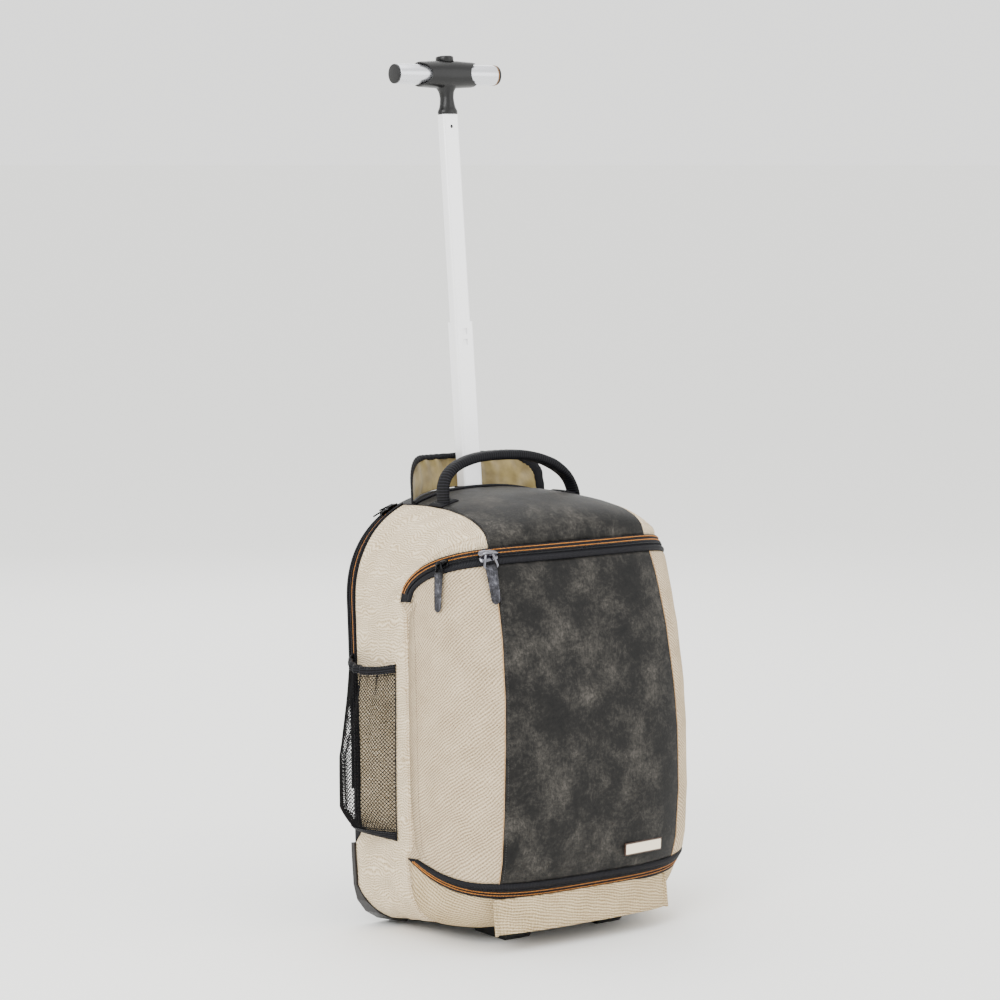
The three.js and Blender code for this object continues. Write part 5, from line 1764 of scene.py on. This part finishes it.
    def flap_rim(self, step: float, inset: float, lift: float) -> Point:
        """Return a point round the flap's rim; step runs from its left foot to its right one."""
        angle = math.pi * step
        reach = self.flap_half_width - inset
        x = -math.copysign(reach * abs(math.cos(angle)) ** 0.6, math.cos(angle))
        corner = self.flap_corner
        over = max(0.0, abs(x) - (reach - corner)) / corner
        top = FORM.crown - 8 + self.flap_height - inset - corner * (1 - super_arc(over, 2))
        base = self.flap_base(x)
        rise = clamp(min(step, 1 - step) / 0.07, 0.02, 1)
        return np.array([x, self.flap_curve(x) - lift, lerp(base, top, rise)])

    def flap_base(self, x: float) -> float:
        """Return the height of the flap's foot."""
        share = x / FORM.section(FORM.shoulder)[0]
        return FORM.back_outline(share)[2] + 1 + 2 * (x / self.flap_half_width) ** 4

    def build_flap(self) -> None:
        """Build the lined flap with its gathered binding."""
        count = 120

        def at(rise: float, across: float) -> Point:
            """Return a point of the lining."""
            rim = self.flap_rim(across, self.binding - 1.2, 1.0)
            z = lerp(self.flap_base(rim[0]), rim[2], rise)
            gather = 1.5 * math.sin(rim[0] * 0.32 + 1.5 * math.sin(z * 0.09)) * (0.35 + 0.65 * rise)
            gather += 1.6 * crinkle(np.array([rim[0], 0, z]), 18, 7.7)
            return np.array([rim[0], rim[1] + 0.5 - gather, z])

        grid = Mould.grid(24, count, at)
        away = np.array([0.0, 1.0, 0.0])
        piece = Mould.wall("flap_lining", grid, 1.4, direction=lambda p: away)
        finish_piece(piece, Palette.LINING, BAG, "lining", ["handle_flap"])

        def bound(step: float, round_share: float) -> Point:
            """Return a point of the binding's rolled tape."""
            inner = self.flap_rim(step, self.binding, 0)
            outer = self.flap_rim(step, 0, 0)
            middle, half = (inner + outer) / 2, np.linalg.norm(outer - inner) / 2
            way = (outer - inner) / max(2 * half, 1e-6)
            turn = 2 * math.pi * round_share
            pucker = 1 + 0.05 * math.sin(step * 230)
            flat = np.array([0.0, -1.0, 0.0])
            round_out = math.sin(turn) * 2.3 * pucker + 1
            return middle + way * math.cos(turn) * half * pucker + flat * round_out

        sides = 16
        rings = Mould.grid(count * 2, sides, bound)[:, :-1]
        uv = [(k * 1.2, i * 2.0) for i in range(len(rings)) for k in range(sides)]
        piece = Mould.loft("flap_edge_binding", rings, uv)
        finish_piece(piece, Palette.PIPING, BAG, "webbing", ["flap_binding"])

    def build(self) -> None:
        """Build the band, the handle with its tabs, and the flap."""
        self.build_band()
        self.build_handle()
        self.build_tabs()
        self.build_flap()


# ---- Pole and grip ----


def soften(node: str, finish: Palette, width: float, segments: int = 3) -> None:
    """Dress a CAD node and round its edges by modifiers, its own mesh untouched.

    Args:
        node: The CAD node.
        finish: Its finish.
        width: Bevel width in millimetres.
        segments: Faces across each rounded edge.
    """
    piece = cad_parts[node]
    piece.data.materials.clear()
    piece.data.materials.append(finish.material)
    weld = piece.modifiers.new("weld", "WELD")
    weld.merge_threshold = 0.00002
    bevel = piece.modifiers.new("edges", "BEVEL")
    bevel.width = width * MM
    bevel.segments = segments
    bevel.limit_method = "ANGLE"
    bevel.angle_limit = math.radians(32)
    LOG.info("%s is dressed as %s", node, finish.name.lower())


def lathe(
    name: str,
    profile: Sequence[tuple[float, float]],
    centre: Point,
    axis: str,
    sides: int = 64,
) -> bpy.types.Object:
    """Turn a profile round an axis of the leaning frame.

    Args:
        name: The piece's name.
        profile: Radius and place along the axis, in millimetres, start and end at radius 0.
        centre: Where the axis' zero lies.
        axis: x, or v for the leaning up direction.
        sides: Faces round the piece.

    Returns:
        The closed piece.
    """
    points = []
    for radius, along in profile:
        for turn in round_turns(sides):
            c, s = radius * math.cos(turn), radius * math.sin(turn)
            points.append(centre + np.array([along, c, s] if axis == "x" else [c, s, along]))
    caps = (profile[0][0] > 0, profile[-1][0] > 0)
    piece = Mould.solid(name, points, Mould.ring_faces(len(profile), sides, caps=caps))
    weld = piece.modifiers.new("weld", "WELD")
    weld.merge_threshold = 0.000001
    return evaluated(piece)


def rounded_profile(radius: float, low: float, high: float, edge: float, steps: int = 5) -> list:
    """Return a solid rod's profile with rounded rims."""
    turns = [math.pi / 2 * k / steps for k in range(steps + 1)]
    inner = radius - edge
    start = [(inner + edge * math.sin(t), low + edge - edge * math.cos(t)) for t in turns]
    end = [(inner + edge * math.cos(t), high - edge + edge * math.sin(t)) for t in turns]
    return [(0.0, low), *start, *end, (0.0, high)]


@dataclass
class TelescopicPole:
    """The two aluminium tubes, the T grip with its bars and caps, and the release button."""

    axis: float = 1029.5
    tube_top: float = 980.7
    bar_radius: float = 12.25
    length: float = 153
    hub_half: float = 40.5
    hub_height: float = 34.5
    neck_waist: float = 17
    neck_base: float = 27
    button_radius: float = 11
    cap: float = 3.0

    def build_hub(self) -> None:
        """Build the hub and its waisted neck as one moulding, with a mouth round each bar."""
        depth = FORM.pole_depth
        turns = round_turns(40)
        half = self.hub_height / 2

        def hub_ring(along: float, tall: float, deep: float) -> list[Point]:
            """Return a squarish ring of the hub, at a place along its length."""
            return [
                np.array(
                    [
                        along * self.hub_half,
                        depth + bent(math.cos(t), 0.85) * deep * half,
                        self.axis + bent(math.sin(t), 0.85) * tall * half,
                    ]
                )
                for t in turns
            ]

        def neck_ring(up: float, wide: float, deep: float) -> list[Point]:
            """Return an oval ring of the neck, at a share of its rise."""
            height = self.tube_top + FORM.gap + up * (self.axis - self.tube_top - FORM.gap)
            return [
                np.array([math.cos(t) * wide / 2, depth + math.sin(t) * wide * deep / 2, height])
                for t in turns
            ]

        # place along, height and depth as shares of the hub's half sizes
        stations = [(-1, 0.85, 0.84), (-0.97, 0.89, 0.88), (-0.72, 0.92, 0.9)]
        stations += [(-0.36, 0.97, 0.93), (0, 1, 0.95)]
        stations += [(-a, t, d) for a, t, d in stations[-2::-1]]
        hub = Mould.loft("hub_block", [hub_ring(*station) for station in stations])
        # share of the rise, width and depth's share of the width
        base = [(0.0, 1.0, 0.72), (0.09, 0.97, 0.74), (0.17, 0.8, 0.8)]
        waist = [(0.28, 1.1, 0.9), (0.42, 1.0, 0.98), (0.56, 1.12, 0.96)]
        waist += [(0.68, 1.6, 0.78), (0.85, 2.3, 0.56)]
        table = [(up, wide * self.neck_base, deep) for up, wide, deep in base]
        table += [(up, wide * self.neck_waist, deep) for up, wide, deep in waist]
        neck = Mould.loft("hub_neck", [neck_ring(*station) for station in table])
        joined = hub.modifiers.new("join", "BOOLEAN")
        joined.operation = "UNION"
        joined.object = neck
        joined.solver = "EXACT"
        even = hub.modifiers.new("even", "REMESH")
        even.mode = "VOXEL"
        even.voxel_size = 0.9 * MM
        even.use_smooth_shade = True
        soft = hub.modifiers.new("soft", "SMOOTH")
        soft.factor = 0.5
        soft.iterations = 9
        evaluated(hub)
        bpy.data.objects.remove(neck)
        cutters = []
        socket, well = self.bar_radius + 0.5, self.button_radius + 0.5
        for side in (-1, 1):
            start = np.array([side * 20.2 if side > 0 else -60.2, depth, self.axis])
            profile = [(0, 0), (socket, 0), (socket, 40), (0, 40)]
            cutters.append(lathe("cut_socket", profile, start, "x"))
            mouth = side * (self.hub_half + 0.4)
            ends = np.array([[mouth, depth - 40, self.axis], [mouth, depth + 40, self.axis]])
            cutters.append(Mould.tube("cut_mouth", ends, self.bar_radius + 0.2, 48))
        start = np.array([0, depth, self.axis + half - 9])
        profile = [(0, 0), (well, 0), (well, 30), (0, 30)]
        cutters.append(lathe("cut_button", profile, start, "v"))
        carve(hub, cutters, "MANIFOLD")
        hub.name = "grip_hub_moulding"
        finish_piece(hub, Palette.GRIP, "upper_stage", "grip_plastic", ["grip_hub"])

    def build_bars(self) -> None:
        """Build the two bars of the T, their dark caps and the thin brown ring."""
        centre = np.array([0.0, FORM.pole_depth, self.axis])
        end, cap = self.length / 2, self.cap
        body = "upper_stage"
        for name, side in SIDES:
            # each rod: its label, radius, ends on the right, rounding, finish, slot and node
            for label, radius, low, high, edge, finish, slot, node in (
                ("tube", 0, 20.8, end - cap - 0.3, 0.8, Palette.BAR, "aluminium", "bar"),
                ("plug", -0.3, end - cap, end, 1.0, Palette.GRIP, "grip_plastic", "cap"),
            ):
                low, high = (low, high) if side > 0 else (-high, -low)
                profile = rounded_profile(self.bar_radius + radius, low, high, edge)
                rod = lathe(f"grip_{label}_{name}", profile, centre, "x")
                finish_piece(rod, finish, body, slot, [f"grip_{node}_{name}"])
            if side < 0:
                continue
            at = end - cap - 1.1
            inner, outer = self.bar_radius - 0.4, self.bar_radius + 0.35
            profile = [(inner, at - 0.6), (outer, at - 0.5), (outer, at + 0.5), (inner, at + 0.6)]
            ring = lathe("grip_ring", profile, centre, "x")
            finish_piece(ring, Palette.RING, body, "grip_plastic")

    def build_button(self) -> None:
        """Build the round release button with a dished top."""
        top = self.hub_height / 2 + 5
        radius = self.button_radius
        profile = [(0, top - 9), (radius, top - 9), (radius, top - 1.6), (radius - 0.5, top - 0.6)]
        profile += [(radius - 1.6, top), (radius - 3, top - 0.1), (4, top - 0.7), (0, top - 0.8)]
        centre = np.array([0.0, FORM.pole_depth, self.axis])
        knob = lathe("release_knob", profile, centre, "v", 48)
        finish_piece(knob, Palette.GRIP, "button", "grip_plastic", ["release_button"])

    def build(self) -> None:
        """Build the pole's grip and dress its tubes."""
        soften("lower_tube", Palette.TUBE, 0.4)
        soften("upper_tube", Palette.TUBE, 0.4)
        soften("pole_guide", Palette.GRIP, 0.3)
        self.build_hub()
        self.build_bars()
        self.build_button()


# ---- Running gear ----


@dataclass
class RunningGear:
    """The corner guards, the wheels on their axles and the front feet."""

    width: float = 22

    def build_wheels(self) -> None:
        """Build each wheel: a ribbed rubber tyre round a dished hub, turned as one piece."""
        half, tread = self.width / 2, FORM.wheel_radius
        groove = tread - 0.8
        # radius and place along the axle, from the outer face to the tread's middle
        face = [(3.4, -half + 1.2), (11.5, -half + 1.2), (13, -half + 2.4), (14, -half + 4.4)]
        face += [(21, -half + 4.4), (22.5, -half + 1.2), (23.2, -half), (26.5, -half)]
        face += [(28.8, -half + 1.2), (tread, -7.5), (tread, -5.2), (groove, -4.8)]
        face += [(groove, -3.6), (tread, -3.2)]
        profile = [*face, *((r, -along) for r, along in reversed(face)), face[0]]
        for name, side in SIDES:
            centre = np.array([side * FORM.wheel_track, FORM.wheel_setback, FORM.wheel_height])
            wheel = lathe(f"rolling_wheel_{name}", profile, centre, "x", 72)
            finish_piece(wheel, Palette.RUBBER, f"wheel_{name}_body", "tyre", [f"wheel_{name}"])

    def build(self) -> None:
        """Build the wheels and dress the guards, axles and feet."""
        self.build_wheels()
        for side in ("left", "right"):
            soften(f"corner_guard_{side}", Palette.GUARD, 0.8)
            soften(f"axle_{side}", Palette.STEEL, 0.3)
            soften(f"foot_{side}", Palette.FOOT, 1.0)


# ---- Back and base ----


@dataclass
class BackAndBase:
    """The padded back panel and the flat base."""

    padding: float = 4.0
    channel: float = 3.2
    quilt_columns: tuple[float, ...] = (-58, 58)
    quilt_rows: tuple[float, ...] = (150, 300, 430)
    # the room for a wheel's housing: radius, half width and depth
    well: tuple[float, float, float] = (36.2, 17.0, 70)

    def build_back(self) -> None:
        """Build the padded back with quilted channels, inside the main zip's edge."""
        form = FORM

        def half_width(height: float) -> float:
            """Return the panel's half-width at a height."""
            if height <= form.shoulder:
                inset = lerp(5.5, 3.1, clamp((height - form.underside) / form.bottom_corner))
                return form.section(height)[0] - inset
            rise = (height - form.shoulder) / (form.crown - form.shoulder - 2.6)
            return form.section(form.shoulder)[0] * super_arc(rise, form.crown_roundness) - 2.6

        def at(rise: float, across: float) -> Point:
            """Return a point of the panel's outside."""
            height = lerp(form.underside + 3.2, form.crown - 3.4, rise)
            k = 2 * across - 1
            x = max(half_width(height), 4.0) * k
            edge = smooth(1 - abs(k), 0, 0.1) * smooth(min(rise, 1 - rise), 0, 0.04)
            channel = 0.0
            for line in self.quilt_columns:
                channel += bell(x, line, self.channel) * smooth(height, 130, 150)
            for line in self.quilt_rows:
                channel += bell(height, line, self.channel)
            swell = self.padding * edge * (1 - 0.8 * min(1.0, channel))
            soft = 0.5 * crinkle(np.array([x, 0, height]), 40, 2.9)
            return np.array([x, form.back_plane - 2.2 + swell + soft, height])

        grid = Mould.grid(150, 100, at)
        away = np.array([0.0, -1.0, 0.0])
        piece = Mould.wall("back_pad", grid, 3.6, direction=lambda p: away)
        self.clear_wheels(piece)
        finish_piece(piece, Palette.BACKING, BAG, "back_pad", ["back_panel"])

    def clear_wheels(self, piece: bpy.types.Object) -> None:
        """Cut the wheel housings' room out of a panel."""
        cutters = []
        radius, half, depth = self.well
        turns = np.linspace(0, math.pi, 25)
        for side in (-1, 1):
            centre = np.array([side * FORM.wheel_track, FORM.wheel_setback, FORM.wheel_height])
            ring = [(math.cos(t) * radius, math.sin(t) * radius) for t in turns]
            outline = [(radius, -depth), *ring, (-radius, -depth)]
            count = len(outline)
            points = [centre + np.array([s * half, u, v]) for s in (-1, 1) for u, v in outline]
            faces = [tuple(range(count)), tuple(range(count, 2 * count))[::-1]]
            after = [(k + 1) % count for k in range(count)]
            faces += [(k, k + count, n + count, n) for k, n in enumerate(after)]
            cutters.append(Mould.solid("cut_well", points, faces))
        carve(piece, cutters, "EXACT")

    def build(self) -> None:
        """Build the back and dress the base."""
        self.build_back()
        soften("bottom_panel", Palette.BACKING, 0.4)


# ---- Skirt ----


@dataclass
class FrontSkirt:
    """The canvas flap that hangs from the bottom zip over the feet."""

    half_width: float = 127
    top: float = 46
    drop: float = 37
    sway: float = 8

    def point(self, fall: float, across: float) -> Point:
        """Return a point of the skirt: fall runs down, across from -1 to 1."""
        x = self.half_width * across
        height = self.top + 3 - (self.drop + 3) * fall
        _, seam, _, _, _ = FORM.section(self.top)
        p = FORM.front_skin(x / seam, self.top)
        x -= self.sway
        p[2] = height
        soft = crinkle(np.array([x, 0, height]), 38, 1.2)
        wave = fall * math.sin(across * 9 + 0.6) + 1.2 * fall * soft
        corner = 2.4 * bell(abs(across), 0.985, 0.02)
        p[1] -= 3.9 + 2.2 * fall + wave + corner
        p[2] += 0.8 * crinkle(np.array([x, 0, 0]), 44, 5.5) * fall
        return np.array([x, p[1], p[2]])

    def build(self) -> None:
        """Build the skirt with its folded side hems and stitched lower edge."""
        grid = Mould.grid(22, 140, lambda r, c: self.point(r, 2 * c - 1))
        piece = Mould.wall("skirt_canvas", rolled(grid, 1.0, 2.5, "sn"), 1.8)
        finish_piece(piece, Palette.SKIRT, BAG, "canvas", ["skirt"])
        for name, side in SIDES:
            line = np.array([self.point(k / 30, side * 0.992) for k in range(31)])
            line[:, 1] -= 0.2
            rod = Mould.tube(f"skirt_hem_{name}", line, 1.9, 10)
            finish_piece(rod, Palette.SKIRT, BAG, "canvas")
        line = np.array([self.point(0.9, 2 * k / 120 - 1) for k in range(3, 118)])
        line[:, 1] -= 0.5
        out, name = np.array([0.0, -1.0, 0.0]), "skirt_hem_stitches"
        Repeater.beads(name, [line], 3.4, STITCH, Palette.TAN, "canvas", away=lambda p: out)


# ---- Sliders, pulls and plate ----


@dataclass
class ZipPull:
    """A zip slider with its bail and a hanging leather pull."""

    name: str
    share: float
    metal: Palette
    across: float = 0.0
    length: float = 48
    width: float = 9.5
    big: float = 1.0
    stand: float = 3.5
    taper: float = 0.3
    bow: float = 0.7
    # how far the stitches lie inside the leather's edge
    inset: float = 1.3

    def place(self) -> tuple[Point, Point, Point, Point]:
        """Return the slider's seat and its along, across and outward directions."""
        form = FORM
        high, low = form.top_zip_edge(self.share, 1), form.top_zip_edge(self.share, -1)
        seat = lerp(low, high, 0.52 + 0.5 * self.across)
        away = -form.inward(seat)
        near, far = (form.top_zip_edge(self.share + step, 0) for step in (-0.01, 0.01))
        return self.axes(seat, far - near, away)

    @staticmethod
    def axes(seat: Point, along: Point, away: Point) -> tuple[Point, Point, Point, Point]:
        """Return a seat with its three directions, along laid square to away."""
        along = unit(along - away * along.dot(away))
        return seat, along, np.cross(away, along), away

    def block(self, label: str, rings: Sequence[tuple[float, float, float, float]]) -> None:
        """Build a rounded metal block on the slider's seat.

        Args:
            label: Its name's start.
            rings: Place along, half-width, low height and high height of each section.
        """
        seat, along, across, away = self.place()

        def ring(place: float, half: float, low: float, high: float) -> list[Point]:
            """Return one squarish section."""
            middle, rise = (low + high) / 2, (high - low) / 2
            return [
                seat
                + along * place
                + across * (bent(math.cos(t), 0.6) * half)
                + away * (middle + bent(math.sin(t), 0.6) * rise)
                for t in round_turns(16)
            ]

        piece = Mould.loft(f"{label}_{self.name}", [ring(*row) for row in rings])
        nodes = [f"slider_{self.name}"] if self.name in ("top_left", "top_middle") else []
        finish_piece(piece, self.metal, BAG, "gunmetal", nodes)

    def build_slider(self) -> Point:
        """Build the slider's plate and its bridge; return where the pull hangs."""
        seat, along, _, away = self.place()
        g = self.big
        plate = [
            (-7 * g, 3.0 * g, 1.0, 2.4),
            (-6 * g, 4.6 * g, 0.9, 3.0),
            (-2 * g, 5.0 * g, 0.9, 3.3),
            (2 * g, 4.3 * g, 0.9, 3.3),
            (6 * g, 3.6 * g, 0.9, 3.0),
            (7 * g, 2.2 * g, 1.0, 2.4),
        ]
        self.block("slider_plate", plate)
        path = [
            seat + along * (6.0 * g * math.cos(t)) + away * (3.0 + 4.6 * g * math.sin(t) ** 0.7)
            for t in np.linspace(0, math.pi, 15)
        ]
        name = f"slider_bridge_{self.name}"
        bridge = Mould.tube(name, np.array(path), 1.7 * g, 10, squash=(1.2, 0.7))
        finish_piece(bridge, self.metal, BAG, "gunmetal")
        return seat + away * (4.6 + 2.4 * g)

    def build_bail(self, hang: Point) -> Point:
        """Build the wire bail that the leather hangs from; return where the leather starts."""
        _, along, _, away = self.place()
        down = self.hang_way(hang)
        g = self.big
        eye, drop = hang + away * 1.2, 9.5 * g
        # each corner of the wire: how far down and how far along
        bends = [(0, -2.6 * g), (drop, -5 * g), (drop + 1.2, -4.4 * g), (drop + 1.2, 4.4 * g)]
        bends += [(drop, 5 * g), (0, 2.6 * g), (-1.6 * g, 1.6 * g), (-1.6 * g, -1.6 * g)]
        path = np.array([eye + down * fall + along * side for fall, side in bends])
        wire = Mould.tube(f"pull_bail_{self.name}", path, 1.0 * g, closed=True)
        finish_piece(wire, self.metal, BAG, "gunmetal")
        return eye + down * (drop - 1.5)

    def hang_way(self, start: Point) -> Point:
        """Return the direction from a start down along the pocket's face."""
        form = FORM
        fall = self.length / (form.top_zip_height - form.bottom_zip_height)
        share, below = self.share, start
        for _ in range(3):
            below = form.pocket_point(share, share, 1 - 1.25 * fall)
            share *= start[0] / below[0]
        return unit(below - form.inward(below) * self.stand - start)

    def build_leather(self, start: Point) -> None:
        """Build the tapered leather pull, hanging from the bail down the pocket's face."""
        _, along, _, away = self.place()
        down = self.hang_way(start)
        side = unit(along - down * along.dot(down))
        out = np.cross(side, down)
        out = out if out.dot(away) > 0 else -out

        def middle(t: float, lift: float = 0.0) -> Point:
            """Return the pull's middle at a share of its length, as it bows off the face."""
            bow = self.bow * math.sin(t * 2.4)
            return start + down * (t * self.length) + out * (0.5 + bow + lift)

        rings, uv = [], []
        for t in np.arange(35) / 34:
            half = self.width / 2 * (1.0 - self.taper * t)
            end = (1 - t) * self.length
            if end < half:
                half *= math.sqrt(max(0.02, 1 - (1 - end / half) ** 2))
            if t < 0.05:
                half *= 0.9
            thick = 1.5 - 0.25 * smooth(t, 0, 0.3)
            ring = []
            for turn in round_turns(16):
                a = bent(math.cos(turn), 0.55) * half
                ring.append(middle(t) + side * a + out * (bent(math.sin(turn), 0.55) * thick))
                uv.append((a, t * self.length))
            rings.append(ring)
        piece = Mould.loft(f"leather_pull_{self.name}", rings, uv)
        finish_piece(piece, Palette.PULL, BAG, "pull_leather", [f"pull_{self.name}"])
        rim = []
        for t in np.linspace(0.06, 0.93, 30):
            half = self.width / 2 * (1.0 - self.taper * t) - self.inset
            rim.append(middle(t, 1.45) - side * half)
        back = [p + side * (2 * (self.width / 2 - self.inset) * 0.86) for p in rim[::-1]]
        paths, size = [np.array(rim), np.array(back)], (1.7, 0.5, 0.5)
        name, thread = f"pull_stitches_{self.name}", Palette.BLACK_THREAD
        Repeater.beads(name, paths, 2.6, size, thread, "pull_leather", away=lambda p: out)

    def build(self) -> None:
        """Build the slider, its bail and its leather pull."""
        hang = self.build_slider()
        self.build_leather(self.build_bail(hang))


@dataclass
class EdgeSlider(ZipPull):
    """A small slider of the main zip, on the left shoulder, with a short wire loop."""

    rise: float = 1.8

    def place(self) -> tuple[Point, Point, Point, Point]:
        """Return the slider's seat and its along, across and outward directions."""

        def at(rise: float) -> Point:
            """Return a point of the main zip's middle on the left."""
            row = FORM.side_row(rise)
            share = lerp(FORM.back_share(row, FORM.main_zip_width), 1, 0.45)
            return row(share) * np.array([-1, 1, 1])

        seat = at(self.rise)
        return self.axes(seat, at(self.rise + 0.01) - at(self.rise - 0.01), -FORM.inward(seat))

    def hang_way(self, start: Point) -> Point:
        """Return the direction that the loop lies in, back along the zip."""
        return -self.place()[1]

    def build(self) -> None:
        """Build the slider and its wire loop."""
        self.build_bail(self.build_slider())


@dataclass
class NamePlate:
    """The bare champagne plate with its dark enamelled rim, on the leather."""

    width: float = 61
    height: float = 15
    thickness: float = 1.6
    centre_x: float = 68
    centre_height: float = 90

    def build(self) -> None:
        """Build the plate as a rounded face on a wider slab that shows round it as a rim."""
        form = FORM
        _, seam, _, _, _ = form.section(self.centre_height)
        seat = form.front_skin(self.centre_x / seam, self.centre_height)
        away = unit(np.array([0.12, -1.0, -0.13]))
        seat = seat + away * 1.0
        right = np.array([1.0, 0.12, 0.0])
        right = unit(right - away * right.dot(away))
        up = np.cross(right, away)
        up = up if up[2] > 0 else -up

        def slab(
            name: str, inset: float, low: float, high: float, finish: Palette, nodes: Sequence[str]
        ) -> None:
            """Build one rounded slab of the plate."""
            half_w, half_h, corner = self.width / 2 - inset, self.height / 2 - inset, 1.2
            outline = []
            for sx, sy, base in ((1, 1, 0), (-1, 1, 1), (-1, -1, 2), (1, -1, 3)):
                for turn in (math.pi / 2 * (base + k / 4) for k in range(5)):
                    x = sx * (half_w - corner) + corner * math.cos(turn)
                    outline.append((x, sy * (half_h - corner) + corner * math.sin(turn)))
            rings = [
                [
                    seat
                    + right * (a * (1 - pull / half_w))
                    + up * (b * (1 - pull / half_h))
                    + away * lift
                    for a, b in outline
                ]
                for lift, pull in ((low, 0.0), (high - 0.25, 0.0), (high, 0.25))
            ]
            piece = Mould.loft(name, rings, flat=True)
            finish_piece(piece, finish, BAG, "plate_metal", nodes)

        slab("plate_rim", 0.0, 0.0, self.thickness, Palette.PLATE_RIM, [])
        low, high = self.thickness - 0.2, self.thickness + 0.35
        slab("plate_face", 1.5, low, high, Palette.PLATE, ["badge_plate"])


# ---- Studio ----


@dataclass
class Studio:
    """The plain pale floor, the soft lights and the camera at the photograph's angle."""

    floor_colour: str = "#FAFAF8"
    camera_at: tuple[float, float, float] = (-2.2192, -3.0196, 0.9168)
    heading: float = 36.0
    pitch: float = 6.2186
    lens: float = 113.0

    def build_floor(self) -> None:
        """Lay a wide round floor."""
        count, radius = 96, 400.0
        ring = [(radius * math.cos(t), radius * math.sin(t), 0.0) for t in round_turns(count)]
        points = [(0.0, 0.0, 0.0), *ring]
        faces = [(0, 1 + k, 1 + (k + 1) % count) for k in range(count)]
        floor = Mould.mesh("studio_floor", np.array(points), faces)
        material = bpy.data.materials.new("matt_white_floor")
        material.use_nodes = True
        shader = material.node_tree.nodes["Principled BSDF"]
        shader.inputs["Base Color"].default_value = hex_colour(self.floor_colour)
        shader.inputs["Roughness"].default_value = 0.95
        floor.data.materials.append(material)

    def build_lights(self) -> None:
        """Set a large soft key from the left, a fill from the right and a light from above."""
        world = bpy.data.worlds.new("pale_studio")
        bpy.context.scene.world = world
        world.use_nodes = True
        background = world.node_tree.nodes["Background"]
        background.inputs["Color"].default_value = hex_colour("#FFFFFD")
        background.inputs["Strength"].default_value = 1.75
        for name, place, size, power in (
            ("key", (-2.6, -1.6, 2.2), 1.8, 90.0),
            ("fill", (2.2, -3.2, 1.6), 2.4, 34.0),
            ("above", (0.0, 0.2, 3.2), 2.6, 50.0),
            ("rim", (1.2, 2.6, 1.8), 1.8, 22.0),
        ):
            light = bpy.data.lights.new(name, "AREA")
            light.size = size
            light.energy = power
            lamp = bpy.data.objects.new(name, light)
            bpy.context.scene.collection.objects.link(lamp)
            lamp.location = place
            aim = Vector((0.0, 0.0, 0.45)) - Vector(place)
            lamp.rotation_mode = "QUATERNION"
            lamp.rotation_quaternion = aim.to_track_quat("-Z", "Y")

    def build_camera(self) -> None:
        """Set the camera where the photograph was taken from."""
        data = bpy.data.cameras.new("camera")
        data.lens, data.sensor_width = self.lens, 36.0
        data.clip_start, data.clip_end = 0.05, 1000.0
        camera = bpy.data.objects.new("camera", data)
        bpy.context.scene.collection.objects.link(camera)
        camera.location = self.camera_at
        turn, dip = math.radians(self.heading), math.radians(self.pitch)
        level = math.cos(dip)
        aim = Vector((math.sin(turn) * level, math.cos(turn) * level, -math.sin(dip)))
        camera.rotation_mode = "QUATERNION"
        camera.rotation_quaternion = aim.to_track_quat("-Z", "Y")
        bpy.context.scene.camera = camera

    def build(self) -> None:
        """Build the whole studio."""
        self.build_floor()
        self.build_lights()
        self.build_camera()


def main() -> None:
    """Build every sub-assembly in order and report each piece."""
    logging.basicConfig(level=logging.INFO, format="%(message)s")
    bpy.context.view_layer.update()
    Studio().build()
    SoftShell().build()
    FrontZip("top_zip", FORM.top_zip_edge, Sign.UPPER).build()
    FrontZip(
        "bottom_zip",
        FORM.bottom_zip_edge,
        Sign.LOWER,
        rope_places=(0.12, 0.5),
        coil_place=-0.22,
    ).build()
    MainZip().build()
    NetPocket("left").build()
    NetPocket("right").build()
    TopHandles().build()
    TelescopicPole().build()
    RunningGear().build()
    BackAndBase().build()
    FrontSkirt().build()
    ZipPull("top_left", -0.92, Palette.GUNMETAL, big=1.25, length=46, width=14).build()
    ZipPull("top_middle", -0.685, Palette.CHROME, big=1.6, length=46, width=14.5).build()
    EdgeSlider("edge_low", 0, Palette.GUNMETAL, rise=1.86).build()
    EdgeSlider("edge_high", 0, Palette.GUNMETAL, rise=1.93).build()
    NamePlate().build()


if __name__ == "__main__":
    main()
